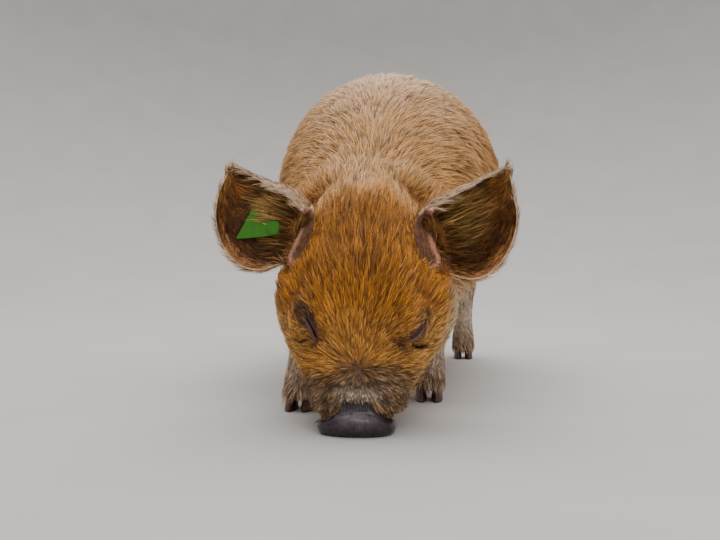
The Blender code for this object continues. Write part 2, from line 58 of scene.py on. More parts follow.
def linear(code):
    """Linear red, green and blue of an sRGB hex value."""
    values = []
    for i in (1, 3, 5):
        value = int(code[i:i + 2], 16) / 255
        values.append(value / 12.92 if value <= 0.04045 else ((value + 0.055) / 1.055) ** 2.4)
    return tuple(values)


def add(tree, kind, links=None, **settings):
    """Adds a node with its settings; links gives, for each input, a value or an output socket."""
    node = tree.nodes.new(kind)
    for name, value in settings.items():
        setattr(node, name, value)
    for key, value in (links or {}).items():
        if isinstance(value, bpy.types.NodeSocket):
            tree.links.new(value, node.inputs[key])
        else:
            node.inputs[key].default_value = value
    return node


def new_material(name, **values):
    """Principled material whose own sockets hold the values that are the same all over."""
    material = bpy.data.materials.new(name)
    material.use_nodes = True
    shader = material.node_tree.nodes["Principled BSDF"]
    for key, value in values.items():
        shader.inputs[key.replace("_", " ")].default_value = value
    return material, material.node_tree, shader


def two_tones(tree, first, second, factor):
    """Colour output between two sRGB hex colours."""
    blend = add(tree, "ShaderNodeMix", data_type="RGBA")
    tree.links.new(factor, blend.inputs["Factor"])
    blend.inputs["A"].default_value = (*linear(first), 1)
    blend.inputs["B"].default_value = (*linear(second), 1)
    return blend.outputs["Result"]


def keep_object(name, bm, material=None, smooth=True):
    """Object at the origin that holds the bmesh."""
    mesh = bpy.data.meshes.new(name)
    bm.to_mesh(mesh)
    bm.free()
    for polygon in mesh.polygons:
        polygon.use_smooth = smooth
    if material:
        mesh.materials.append(material)
    obj = bpy.data.objects.new(name, mesh)
    scene.collection.objects.link(obj)
    return obj


camera_data = bpy.data.cameras.new("camera")
camera_data.sensor_width = 36
camera_data.lens = 39
camera_data.clip_start = 0.02
camera = bpy.data.objects.new("camera", camera_data)
scene.collection.objects.link(camera)
camera.location = CAMERA_SPOT
camera.rotation_euler = (math.radians(90), 0, CAMERA_YAW)
scene.camera = camera

# screed, floated smooth: matt and pale, with faint clouds 14 cm apart
floor_material, tree, shader = new_material("pale_screed", Roughness=0.8)
place = add(tree, "ShaderNodeTexCoord").outputs["Object"]
cloud = add(tree, "ShaderNodeTexNoise", {"Vector": place, "Scale": 7.0, "Detail": 6.0})
tree.links.new(two_tones(tree, "#bab5b0", "#c7c3bf", cloud.outputs["Fac"]), shader.inputs["Base Color"])
bm = bmesh.new()
profile = [bm.verts.new((0, 0, 0)), bm.verts.new((COVE_START, 0, 0))]
for i in range(1, COVE_STEPS + 1):
    angle = math.pi / 2 * i / COVE_STEPS
    reach = COVE_START + COVE_RADIUS * math.sin(angle)
    profile.append(bm.verts.new((reach, 0, COVE_RADIUS * (1 - math.cos(angle)))))
edges = [bm.edges.new(pair) for pair in zip(profile, profile[1:])]
bmesh.ops.spin(bm, geom=profile + edges, axis=(0, 0, 1), cent=(0, 0, 0), angle=math.tau, steps=72)
bmesh.ops.remove_doubles(bm, verts=bm.verts, dist=1e-4)
bmesh.ops.recalc_face_normals(bm, faces=bm.faces)
floor = keep_object("floor", bm, floor_material)

for name, size, power, spot, aim in (
    ("sky light", 2.2, 58, (-0.1, 0.8, 2.3), (0, 0.0, 0.0)),
    ("front light", 1.6, 24, (0.6, -1.9, 1.6), (0, -0.2, 0.05)),
):
    data = bpy.data.lights.new(name, "AREA")
    data.size = size
    data.energy = power
    lamp = bpy.data.objects.new(name, data)
    lamp.location = spot
    lamp.rotation_euler = (Vector(aim) - Vector(spot)).to_track_quat("-Z", "Y").to_euler()
    scene.collection.objects.link(lamp)
world = bpy.data.worlds.new("daylight")
world.use_nodes = True
world.node_tree.nodes["Background"].inputs["Color"].default_value = (*linear("#f1f2f4"), 1)
world.node_tree.nodes["Background"].inputs["Strength"].default_value = 0.90
scene.world = world

# Skin: one closed surface of flesh from snout to tail, as it lies under the hair. It is the
# solids of the animal joined into one, smoothed, and drawn in by the depth of the coat.
FLESH = ("head", "nose", "neck", "torso", "tail")
LEGS = ("leg_front_left", "leg_front_right", "leg_hind_left", "leg_hind_right")
EARS = ("ear_left", "ear_right")
SKIN_GRAIN = 0.0014
SKIN_OFF_FLOOR = 0.0002
LID_RADIUS = 0.0122
EYES = {name: (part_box(name)[0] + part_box(name)[1]) / 2 for name in ("eye_left", "eye_right")}
EYE_RADIUS = (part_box("eye_left")[1].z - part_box("eye_left")[0].z) / 2
SNOUT_MIDDLE = 0.0015


def merged(names, swell):
    """bmesh of copies of CAD nodes, doubles merged, swollen so that neighbours overlap."""
    bm = bmesh.new()
    for name in names:
        bm.from_mesh(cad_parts[name].data)
    bmesh.ops.remove_doubles(bm, verts=bm.verts, dist=1e-6)
    bm.normal_update()
    moves = [vert.normal * swell for vert in bm.verts]
    for vert, move in zip(bm.verts, moves):
        vert.co += move
    return bm


def settle(obj):
    """Makes the evaluated mesh the object's own."""
    bpy.context.view_layer.update()
    graph = bpy.context.evaluated_depsgraph_get()
    mesh = bpy.data.meshes.new_from_object(obj.evaluated_get(graph))
    obj.modifiers.clear()
    obj.data = mesh
    return obj


def points_of(mesh):
    """Places of the vertices, one row each."""
    flat = np.empty(len(mesh.vertices) * 3, np.float32)
    mesh.vertices.foreach_get("co", flat)
    return flat.reshape(-1, 3).astype(np.float64)


def normals_of(mesh):
    """Normals of the vertices, one row each."""
    flat = np.empty(len(mesh.vertices) * 3, np.float32)
    mesh.vertex_normals.foreach_get("vector", flat)
    return flat.reshape(-1, 3).astype(np.float64)


def set_points(mesh, points):
    """Moves the vertices to the rows of points."""
    mesh.vertices.foreach_set("co", points.astype(np.float32).ravel())
    mesh.update()


def rise(value, low, high):
    """0 below low, 1 above high, and a smooth step between."""
    t = np.clip((value - low) / (high - low), 0, 1)
    return t * t * (3 - 2 * t)


def bell(value, width):
    """1 at 0, falling to nothing past about twice the width."""
    return np.exp(-((value / width) ** 2))


def unit(vectors):
    """Rows of vectors made one long."""
    return vectors / np.maximum(np.linalg.norm(vectors, axis=1, keepdims=True), 1e-9)


def parts(points):
    """Side, place behind the snout's contact with the floor, and height of points."""
    return points[:, 0], points[:, 1] - SNOUT_Y, points[:, 2]


def past_nape(back, height):
    """How far behind the sloping plane across the nape, where the head ends."""
    return (back - 0.083) * 0.839 + (height - 0.135) * 0.545


def region(points):
    """Shares, 0 to 1, of head, leg and tail at points; the rest is neck and trunk."""
    side, back, height = parts(points)
    head = 1 - rise(past_nape(back, height), -0.008, 0.020)
    leg_front = 0.051 + 0.553 * (height + 0.020)
    front_leg = rise(back - leg_front, -0.002, 0.004) * (1 - rise(back, 0.185, 0.200))
    hind_leg = rise(back, 0.372, 0.392)
    low = 1 - rise(height, 0.070, 0.100)
    leg = np.clip(front_leg + hind_leg, 0, 1) * low * rise(np.abs(side), 0.018, 0.028)
    head = head * (1 - leg) * (1 - rise(back, 0.10, 0.13) * low)
    tail = rise(back, 0.4815, 0.486) * rise(height, 0.110, 0.114)
    return head, leg, tail


def snout_edge(side):
    """Height of the top of the bare snout: a low rim that rises to a narrow middle."""
    across = np.abs(side - SNOUT_MIDDLE)
    return np.interp(across, (0.0083, 0.0100, 0.0160, 0.0240), (0.0213, 0.0158, 0.0122, 0.0076))


def bare(points):
    """Share of bare wet snout at points."""
    side, back, height = parts(points)
    disc = 1 - rise(height - snout_edge(side), -0.0006, 0.0006)
    return disc * (1 - rise(back, 0.0262, 0.0282)) * (1 - rise(np.abs(side), 0.0262, 0.0276))


def coat_depth(points):
    """How far the skin lies inside the tips of the hair."""
    head, leg, tail = region(points)
    height = points[:, 2]
    depth = np.full(len(points), 0.0050)
    depth += ((0.0002 + 0.0030 * rise(height, 0.030, 0.090)) - depth) * head
    depth += ((0.0032 * rise(height, 0.012, 0.090) ** 0.6) - depth) * leg
    depth += (0.0008 - depth) * tail
    for centre in EYES.values():
        away = np.linalg.norm(points - np.array(centre), axis=1)
        depth += (0.0005 - depth) * (1 - rise(away, 0.0135, 0.0190))
    return depth * (1 - bare(points)) * rise(height, 0.0, 0.004)


bm = merged(FLESH + LEGS, 0.0004)
for centre in EYES.values():
    bmesh.ops.create_icosphere(
        bm, subdivisions=3, radius=LID_RADIUS, matrix=Matrix.Translation(centre)
    )
skin = keep_object("skin", bm)
remesh = skin.modifiers.new("one surface", "REMESH")
remesh.mode = "VOXEL"
remesh.voxel_size = SKIN_GRAIN
settle(skin)
head_share, leg_share, tail_share = region(points_of(skin.data))
body_group = skin.vertex_groups.new(name="body")
for index, weight in enumerate(np.clip(1 - head_share - 0.6 * leg_share - tail_share, 0, 1)):
    if weight > 0.01:
        body_group.add((index,), float(weight), "REPLACE")
smoothing = skin.modifiers.new("calm all", "SMOOTH")
smoothing.factor = 0.5
smoothing.iterations = 6
smoothing = skin.modifiers.new("calm body", "SMOOTH")
smoothing.factor = 0.8
smoothing.iterations = 70
smoothing.vertex_group = "body"
fewer = skin.modifiers.new("fewer faces on the body", "DECIMATE")
fewer.ratio = 0.40
fewer.vertex_group = "body"
settle(skin)
points = points_of(skin.data)
points -= normals_of(skin.data) * coat_depth(points)[:, None]
points[:, 2] = np.maximum(points[:, 2], SKIN_OFF_FLOOR)
set_points(skin.data, points)

# Ears: cupped leaves of gristle under thin skin, open to the front, thick at the root and thin
# at the rim, with low ridges inside. They grow out of the skull with no seam, and a thick fold
# of nearly bare skin stands between the forehead and the hollow of each.
EAR_RIMS = {
    -1: (
        ((0.0300, 0.1220), (0.0440, 0.1040)),
        ((0.0365, 0.1310), (0.0520, 0.1045)),
        ((0.0425, 0.1385), (0.0600, 0.1035)),
        ((0.0495, 0.1462), (0.0690, 0.1005)),
        ((0.0575, 0.1518), (0.0790, 0.1015)),
        ((0.0650, 0.1560), (0.0870, 0.1065)),
        ((0.0710, 0.1594), (0.0935, 0.1150)),
        ((0.0765, 0.1625), (0.0975, 0.1265)),
        ((0.0815, 0.1655), (0.0985, 0.1400)),
        ((0.0850, 0.1675), (0.0955, 0.1535)),
        ((0.0870, 0.1685), (0.0893, 0.1660)),
    ),
    1: (
        ((0.0290, 0.1160), (0.0420, 0.1000)),
        ((0.0340, 0.1240), (0.0500, 0.1000)),
        ((0.0400, 0.1325), (0.0580, 0.0975)),
        ((0.0480, 0.1398), (0.0670, 0.0945)),
        ((0.0570, 0.1461), (0.0770, 0.0955)),
        ((0.0655, 0.1506), (0.0860, 0.1015)),
        ((0.0735, 0.1549), (0.0925, 0.1105)),
        ((0.0800, 0.1585), (0.0970, 0.1215)),
        ((0.0855, 0.1615), (0.0988, 0.1340)),
        ((0.0895, 0.1637), (0.0970, 0.1465)),
        ((0.0920, 0.1655), (0.0943, 0.1610)),
    ),
}
EAR_CUP = (0.012, 0.014, 0.0155, 0.0155, 0.0145, 0.0125, 0.0095, 0.0065, 0.0038, 0.0016, 0.0004)
EAR_BACK = (0.060, 0.056, 0.0525, 0.0505, 0.0490, 0.0480, 0.0470, 0.0460, 0.0450, 0.0445, 0.0440)
EAR_CREST = 0.0145
FOLDS = {
    -1: ((0.0405, 0.1085), (0.0372, 0.1160), (0.0355, 0.1230), (0.0356, 0.1290), (0.0366, 0.1345)),
    1: ((0.0432, 0.1065), (0.0405, 0.1120), (0.0387, 0.1180), (0.0383, 0.1250), (0.0395, 0.1335)),
}
FOLD_RIDGE = 0.0060
FOLD_FRONT = 0.0040
FOLD_REACH = 0.0072


def through(values, t):
    """Smooth curve through evenly spaced values, at t from 0 to 1."""
    values = np.asarray(values, float)
    last = len(values) - 1
    step = np.clip(t * last, 0, last - 1e-9)
    i = step.astype(int)
    f = (step - i).reshape((-1,) + (1,) * (values.ndim - 1))
    a, b = values[np.maximum(i - 1, 0)], values[i]
    c, d = values[i + 1], values[np.minimum(i + 2, last)]
    return b + 0.5 * f * (c - a + f * (2 * a - 5 * b + 4 * c - d + f * (3 * (b - c) + d - a)))


def ear_surface(sign, out, across):
    """Points of the hollow face of an ear, out from root to tip and across from the upper rim."""
    upper = through([rim[0] for rim in EAR_RIMS[sign]], out)
    lower = through([rim[1] for rim in EAR_RIMS[sign]], out)
    flat = upper + (lower - upper) * ((1 - np.cos(np.pi * across)) / 2)[:, None]
    crest = EAR_CREST * np.maximum(0, 1 - out) ** 1.3 * np.sin(np.pi * np.minimum(1, 2.2 * across))
    arch = np.sin(np.pi * across)
    ridges = 0.0006 * np.cos(across * 7 * np.pi + 2 * out) * arch
    ridges = ridges * np.sin(np.pi * np.minimum(1, out * 1.1))
    lobe = 0.0030 * bell(1 - across, 0.10) * np.sin(np.pi * out)
    depth = through(EAR_BACK, out) + through(EAR_CUP, out) * arch + ridges - lobe
    return np.stack([sign * flat[:, 0], SNOUT_Y + depth, flat[:, 1] + crest], axis=1)


def in_order(item):
    """Number to sort a face or an edge by, made of the numbers of its vertices."""
    numbers = sorted(vert.index for vert in item.verts)
    return sum(number * 8000.0 ** place for place, number in enumerate(numbers))


ear_map = {key: [] for key in ("points", "out", "across", "outward", "downward", "behind", "thick")}
ear_shells = []
for sign in (-1, 1):
    bm = bmesh.new()
    bmesh.ops.create_grid(bm, x_segments=60, y_segments=48, size=0.5)
    grid = np.clip(np.array([vert.co[:] for vert in bm.verts]) + 0.5, 0, 1)
    out, across = grid[:, 0], grid[:, 1]
    hollow_face = ear_surface(sign, out, across)
    outward = unit(ear_surface(sign, out + 0.01, across) - ear_surface(sign, out - 0.01, across))
    downward = unit(ear_surface(sign, out, np.minimum(across + 0.01, 1))
                    - ear_surface(sign, out, np.maximum(across - 0.01, 0)))
    behind = unit(np.cross(outward, downward))
    behind *= np.where(behind[:, 1].mean() < 0, -1, 1)
    thick = 0.0010 + 0.0024 * np.minimum(1, 4 * np.minimum(across, 1 - across)) * (1 - out ** 2)
    for key, values in zip(ear_map, (hollow_face, out, across, outward, downward, behind, thick)):
        ear_map[key].append(values)
    for vert, point in zip(bm.verts, hollow_face):
        vert.co = point
    walls = bmesh.ops.extrude_face_region(bm, geom=bm.faces[:], use_keep_orig=True)
    nearby = kdtree.KDTree(len(hollow_face))
    for i, point in enumerate(hollow_face):
        nearby.insert(point, i)
    nearby.balance()
    for item in walls["geom"]:
        if isinstance(item, bmesh.types.BMVert):
            i = nearby.find(item.co)[1]
            item.co += Vector(behind[i]) * float(thick[i])
    # the walls come in no fixed order, so they are sorted, to give the same pig each time
    bm.verts.index_update()
    bm.faces.sort(key=in_order)
    bm.edges.sort(key=in_order)
    bmesh.ops.recalc_face_normals(bm, faces=bm.faces)
    bmesh.ops.smooth_vert(
        bm, verts=bm.verts, factor=0.5, use_axis_x=True, use_axis_y=True, use_axis_z=True
    )
    ear_shells.append(keep_object("ear", bm))
ear_map = {key: np.concatenate(values) for key, values in ear_map.items()}
ear_spots = kdtree.KDTree(len(ear_map["points"]))
for i, point in enumerate(ear_map["points"]):
    ear_spots.insert(point, i)
ear_spots.balance()

graph = bpy.context.evaluated_depsgraph_get()
skull_tree = bvhtree.BVHTree.FromObject(skin, graph)
shell_trees = [bvhtree.BVHTree.FromObject(shell, graph) for shell in ear_shells]
for shell in ear_shells:
    join = skin.modifiers.new("ear", "BOOLEAN")
    join.operation = "UNION"
    join.solver = "MANIFOLD"
    join.object = shell
    settle(skin)
    bpy.data.objects.remove(shell)


def from_fold(points):
    """In front view, distances of points from the fold at the root of the ear, and how far beyond."""
    side, back, height = parts(points)
    nearest = np.full(len(points), 1.0)
    beyond = np.full(len(points), -1.0)
    for sign, line in FOLDS.items():
        flat = np.stack([sign * side, height], axis=1)
        for start, end in zip(np.array(line[:-1]), np.array(line[1:])):
            run = end - start
            t = np.clip((flat - start) @ run / (run @ run), 0, 1)
            away = flat - start - t[:, None] * run
            distance = np.linalg.norm(away, axis=1)
            closer = distance < nearest
            nearest = np.where(closer, distance, nearest)
            beyond = np.where(closer, np.sign(away[:, 0]) * distance, beyond)
    return nearest, beyond


def ear_facts(points):
    """Share of ear at points, their place on the map of the ears, and shares of back and hollow."""
    side, back, height = parts(points)
    share = np.zeros(len(points))
    place = np.zeros(len(points), int)
    hind = np.zeros(len(points))
    near = (np.abs(side) > 0.026) & (height > 0.088) & (height < 0.190) & (back < 0.100)
    nearest, beyond = from_fold(points)
    upper_end = np.where(side < 0, 0.136, 0.132)
    lower_end = np.where(side < 0, 0.106, 0.101)
    hollow = rise(beyond, 0.0068, 0.0080) * rise(height - lower_end, -0.003, 0.003)
    hollow *= (
        (1 - rise(height - upper_end, -0.003, 0.004)) * (1 - rise(back, 0.056, 0.062))
        * rise(back, 0.018, 0.024)
    )
    for i in np.flatnonzero(near):
        point = points[i].tolist()
        to_ear = min(tree.find_nearest(point)[3] for tree in shell_trees)
        to_skull = skull_tree.find_nearest(point)[3]
        share[i] = np.clip((to_skull - to_ear + 0.0004) / 0.0022, 0, 1)
        spot, place[i], away = ear_spots.find(point)
    offset = ((points - ear_map["points"][place]) * ear_map["behind"][place]).sum(axis=1)
    behind = rise(offset / ear_map["thick"][place], 0.45, 0.85) * near
    hollow = hollow * near * (1 - share)
    ear = np.maximum(share, hollow)
    return ear, place, behind * share / np.maximum(ear, 1e-6), hollow


# the crease where each ear leaves the skull is smoothed
bm = bmesh.new()
bm.from_mesh(skin.data)
join_line = []
for vert in bm.verts:
    height, back = vert.co.z, vert.co.y - SNOUT_Y
    if 0.085 < height < 0.175 and 0.02 < abs(vert.co.x) < 0.078 and 0.03 < back < 0.100:
        on_ear = min(tree.find_nearest(vert.co)[3] for tree in shell_trees)
        if on_ear < 0.0040 and skull_tree.find_nearest(vert.co)[3] < 0.0040:
            join_line.append(vert)
for _ in range(16):
    bmesh.ops.smooth_vert(
        bm, verts=join_line, factor=0.5, use_axis_x=True, use_axis_y=True, use_axis_z=True
    )

# Face: the eyes nearly shut between swollen lids, a crease under each, the lips met in a long
# line, and wrinkles above the snout. It is the same skin, with finer faces here.
MOUTH = ((0.0190, 0.0070), (0.0245, 0.0150), (0.0335, 0.0265), (0.0430, 0.0370), (0.0500, 0.0470))
LIDS = {
    "eye_left": ((0.60, 0.40, 0.69), (0.78, -0.80, -0.20), -0.0020),
    "eye_right": ((-0.53, 0.27, 0.80), (0.38, -0.90, -0.12), -0.0050),
}
BAGS = {"eye_left": (0.0382, 0.0563), "eye_right": (-0.0348, 0.0592)}
TEARS = {"eye_left": (0.0248, 0.0532), "eye_right": (-0.0226, 0.0536)}


def lid_axes(name):
    """Axes at an eye: along the gap from the inner corner out, out of the face, and up."""
    along = Vector(LIDS[name][0]).normalized()
    outward = Vector(LIDS[name][1])
    outward = (outward - along * outward.dot(along)).normalized()
    up = along.cross(outward)
    return along, outward, up if up.z > 0 else -up


def at_eye(points, name):
    """Places of points along the gap of the lids, across it, and whether they are near it."""
    along, outward, up = lid_axes(name)
    from_eye = points - np.array(EYES[name])
    near = rise(from_eye @ np.array(outward), -0.002, 0.004)
    return from_eye @ np.array(along) - LIDS[name][2], from_eye @ np.array(up), near


def at_bag(points, name):
    """Shares of the swelling under an eye, of the crease below it, and of the tear stain."""
    side, back, height = parts(points)
    front = 1 - rise(back, 0.022, 0.028)
    out, up = side - BAGS[name][0], height - BAGS[name][1]
    bag = bell(np.hypot(out / 0.0052, up / 0.0042), 0.85)
    crease = bell(up + 0.0042 - 50 * out ** 2, 0.0014) * np.exp(-((out / 0.0052) ** 4))
    tear = bell(np.hypot((side - TEARS[name][0]) / 0.0040, (height - TEARS[name][1]) / 0.0056), 1.0)
    return bag * front, crease * front, tear * front


def from_line(points, line):
    """Distance in side view of points from a line of (back, height)."""
    flat = np.stack([points[:, 1] - SNOUT_Y, points[:, 2]], axis=1)
    nearest = np.full(len(points), 1.0)
    for start, end in zip(line, line[1:]):
        start, end = np.array(start), np.array(end)
        run = end - start
        t = np.clip((flat - start) @ run / (run @ run), 0, 1)
        nearest = np.minimum(nearest, np.linalg.norm(flat - start - t[:, None] * run, axis=1))
    return nearest


def refine(bm, wanted):
    """Splits each face whose middle is wanted into four."""
    chosen = [face for face in bm.faces if wanted(face.calc_center_median())]
    edges = list({edge for face in chosen for edge in face.edges})
    bmesh.ops.subdivide_edges(bm, edges=edges, cuts=1, use_grid_fill=True, smooth=0.0)
    bmesh.ops.triangulate(bm, faces=[face for face in bm.faces if len(face.verts) > 4])


# finer faces over the face, and finer still over the snout
refine(bm, lambda at: at.y - SNOUT_Y < 0.046 and at.z < 0.082 and abs(at.x) < 0.054)
refine(bm, lambda at: at.y - SNOUT_Y < 0.014 and at.z < 0.026 and abs(at.x) < 0.030)
bm.to_mesh(skin.data)
bm.free()
skin.data.update()
points, normals = points_of(skin.data), normals_of(skin.data)
side, back, height = parts(points)

# the lips part in a groove with a low swelling above it
front = 1 - rise(back, 0.050, 0.060)
lips = from_line(points, MOUTH)
around = front * (1 - rise(height, 0.046, 0.052)) * rise(height, 0.0095, 0.0125)
lift = around * (0.0007 * bell(lips - 0.0035, 0.002) - 0.0021 * bell(lips, 0.0010))

# by each eye: the bag, its crease and the tear's track, the edge of the lower lid, the upper lid
for name in EYES:
    along, across, near = at_eye(points, name)
    near = near * np.exp(-((along / 0.0145) ** 4))
    bag, crease, tear = at_bag(points, name)
    lift += 0.0024 * bag - 0.0044 * crease - 0.0006 * tear
    lift += near * 0.0008 * bell(across + 0.0020, 0.0009) * (1 - rise(np.abs(along), 0.006, 0.010))
    lift += near * (0.0007 * bell(across - 0.0034, 0.0014) - 0.0010 * bell(across - 0.0066, 0.0012))

# the snout: its rim, the wrinkles of its narrow middle, its shoulders, the lit swelling on it,
# and a roll and a crease above
on_front = front * (1 - rise(back, 0.012, 0.022)) * (np.abs(side) < 0.0290)
step = height - snout_edge(side)
middle = 1 - rise(np.abs(side - SNOUT_MIDDLE), 0.0080, 0.0100)
lift += on_front * -0.0013 * bell(step, 0.0008) * rise(0.0225 - np.abs(side), 0, 0.005)
wrinkled = middle * rise(height, 0.0152, 0.0165) * (1 - rise(height, 0.0205, 0.0216))
lift += on_front * wrinkled * (-0.0011 + 0.00035 * np.cos(side * 2 * np.pi / 0.0021))
shoulder = rise(np.abs(side - SNOUT_MIDDLE), 0.0120, 0.0200) * rise(height, 0.0060, 0.0110)
lift -= on_front * 0.0007 * shoulder * (1 - rise(height, 0.0145, 0.0175))
lift += on_front * 0.0018 * bell(height - 0.0105, 0.0034) * np.exp(-((side - SNOUT_MIDDLE) / 0.012) ** 4)
lift += on_front * 0.0007 * bell(height - 0.0245, 0.0022) * bell(side - SNOUT_MIDDLE, 0.012)
lift += on_front * -0.0005 * bell(height - 0.0290, 0.0009) * bell(side - SNOUT_MIDDLE, 0.013)

# the fold at the root of each ear: a ridge, a groove before it and the hollow beyond
nearest, beyond = from_fold(points)
by_ear = rise(height, 0.095, 0.101) * (1 - rise(back, 0.058, 0.066))
ridge = 0.0022 * bell(beyond - FOLD_RIDGE, 0.0014) * (nearest < 0.009)
lift += by_ear * (ridge - 0.0008 * bell(nearest, 0.003))
sunk = rise(beyond, 0.0076, 0.0110) * (1 - rise(nearest, 0.010, 0.018))
lift -= by_ear * 0.0034 * (sunk * (1 - rise(height, 0.134, 0.142)))
points += normals * lift[:, None]
points[:, 2] = np.maximum(points[:, 2], SKIN_OFF_FLOOR)
set_points(skin.data, points)

# a room for each eyeball, and the gap between its lids
for name, centre in EYES.items():
    along, outward, up = lid_axes(name)
    turn = Matrix((along, outward, up)).transposed().to_4x4()
    for spot, radii in (
        (centre, (EYE_RADIUS * 1.02,) * 3),
        (centre + outward * EYE_RADIUS + along * LIDS[name][2], (0.0080, 0.0082, 0.0005)),
    ):
        bm = bmesh.new()
        shape = Matrix.Translation(spot) @ turn @ Matrix.Diagonal((*radii, 1))
        bmesh.ops.create_icosphere(bm, subdivisions=5, radius=1, matrix=shape)
        cutter = keep_object("cutter", bm)
        cut = skin.modifiers.new("eye", "BOOLEAN")
        cut.operation = "DIFFERENCE"
        cut.solver = "MANIFOLD"
        cut.object = cutter
        settle(skin)
        bpy.data.objects.remove(cutter)
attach(skin, "root")
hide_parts(*FLESH, *LEGS, *EARS)

# Markings: colours of the hair, worked out from the place on the body, with painted light and shade
# among them where noted. The skin under it is darker in the same pattern, so that both carry the same
# markings.
TINTS = {name: np.array(linear(code)) for name, code in (
    ("face", "#ac6c1e"), ("brow", "#915b1e"), ("cheek", "#cd984c"), ("jowl", "#dfc294"),
    ("nape", "#d69f5e"), ("spine", "#fbcc98"), ("flank", "#b67c30"), ("belly", "#d3b78c"),
    ("muzzle", "#87694a"), ("muzzle dark", "#463422"), ("muzzle pale", "#9c8b78"),
    ("lid", "#573530"), ("lid edge highlight", "#8c6a68"), ("tear stain and eye shade", "#4c3018"), ("bag", "#9c6c24"),
    ("snout", "#2a2024"), ("snout highlight", "#54474d"),
    ("ear back", "#f8d6b2"), ("ear hair", "#a38048"), ("ear fuzz", "#865624"), ("ear dark", "#4a270f"),
    ("ear lobe", "#c08858"), ("ear rim", "#463a34"), ("fold", "#623e26"), ("fold ridge highlight", "#b07a60"),
    ("leg", "#ead6bf"), ("foot", "#a88c70"), ("tail", "#d6b687"),
)}


def mix(colour, other, share):
    """Rows of colours moved by a share toward others."""
    return colour + (other - colour) * np.clip(share, 0, 1)[:, None]


def waves(points, size, seed):
    """Smooth noise about 0, of patches of the given size."""
    rng = np.random.default_rng(seed)
    total = np.zeros(len(points))
    for _ in range(7):
        way = rng.normal(size=3)
        way *= (2 * np.pi / size) * rng.uniform(0.6, 1.5) / np.linalg.norm(way)
        total += np.sin(points @ way + rng.uniform(0, 2 * np.pi))
    return total / 2.6


WHORL = np.array((0.0016, SNOUT_Y + 0.0045, 0.0394))


def face_colour(points):
    """Colours of the face: ginger above, paler cheeks, a dark muzzle, a brown tear stain by each eye,
    painted shade round the outer half of each eye and in the crease under it, and a painted highlight
    along each lower lid.
    """
    side, back, height = parts(points)
    face = np.tile(TINTS["face"], (len(points), 1))
    middle = bell(side, 0.032) * rise(height, 0.070, 0.095) * (1 - rise(height, 0.125, 0.150))
    face = mix(face, TINTS["brow"], middle * 0.9)
    lower = 1 - rise(height, 0.055, 0.080)
    face = mix(face, TINTS["cheek"], lower * (0.35 + 0.65 * rise(np.abs(side), 0.020, 0.045)))
    face = mix(face, TINTS["jowl"], rise(back, 0.024, 0.055) * (1 - rise(height, 0.070, 0.105)) * 0.9)
    face = mix(face, TINTS["nape"], rise(height, 0.130, 0.166) * 0.9)
    low = 1 - rise(height + 0.12 * np.abs(side) + 0.002 * waves(points, 0.02, 9), 0.034, 0.046)
    low = low * (1 - 0.85 * rise(back, 0.012, 0.034))
    dark = 0.40 + 0.45 * waves(points, 0.011, 5) + 0.45 * waves(points, 0.004, 6)
    dark += 0.7 * bell(height - 0.0335, 0.0040) * (1 - rise(np.abs(side), 0.014, 0.024))
    by_whorl = np.linalg.norm(points - WHORL, axis=1)
    muzzle = mix(np.tile(TINTS["muzzle"], (len(points), 1)), TINTS["muzzle dark"], dark)
    pale = np.exp(-((side - 0.0022) / 0.0115) ** 4) * bell(height - 0.0255, 0.0042)
    face = mix(face, mix(muzzle, TINTS["muzzle pale"], pale), low)
    face = mix(face, TINTS["muzzle dark"], bell(by_whorl, 0.0050) * 0.7)
    for name in EYES:
        along, across, near = at_eye(points, name)
        bag, crease, tear = at_bag(points, name)
        above = np.hypot((along - 0.0065) / 0.0115, across / 0.0062)
        band = np.exp(-(((along + 0.0010) / 0.0072) ** 4)) * np.exp(-(((across - 0.0006) / 0.0029) ** 4))
        face = mix(face, TINTS["bag"], bag * 0.8)
        patchy = 1 + 0.25 * waves(points, 0.004, 17)
        # the tear's track is a real stain; the dark patch round the outer half of the lid gap is painted
        # shade
        face = mix(face, TINTS["tear stain and eye shade"], np.maximum(near * np.exp(-above ** 3), tear * 1.1) * patchy)
        # painted shade in the crease under the bag
        face = mix(face, TINTS["muzzle dark"] * 0.4, crease * 1.8)
        face = mix(face, TINTS["lid"], near * band)
        # painted highlight along the ridge of the lower lid
        face = mix(face, TINTS["lid edge highlight"], near * band * bell(across + 0.0014, 0.0007))
    return face


def ear_root(out, across):
    """Share of the long-haired part of an ear's hollow, by the root and under the upper rim."""
    return (1 - rise(out, 0.25, 0.75)) * (1 - rise(across, 0.42, 0.80))


def ear_edge(out, across):
    """Share of the thin edge all round an ear."""
    upper, lower = 1 - rise(across, 0.03, 0.06), rise(across, 0.965, 0.985)
    return np.maximum(np.maximum(upper, rise(out, 0.95, 0.98)), lower)


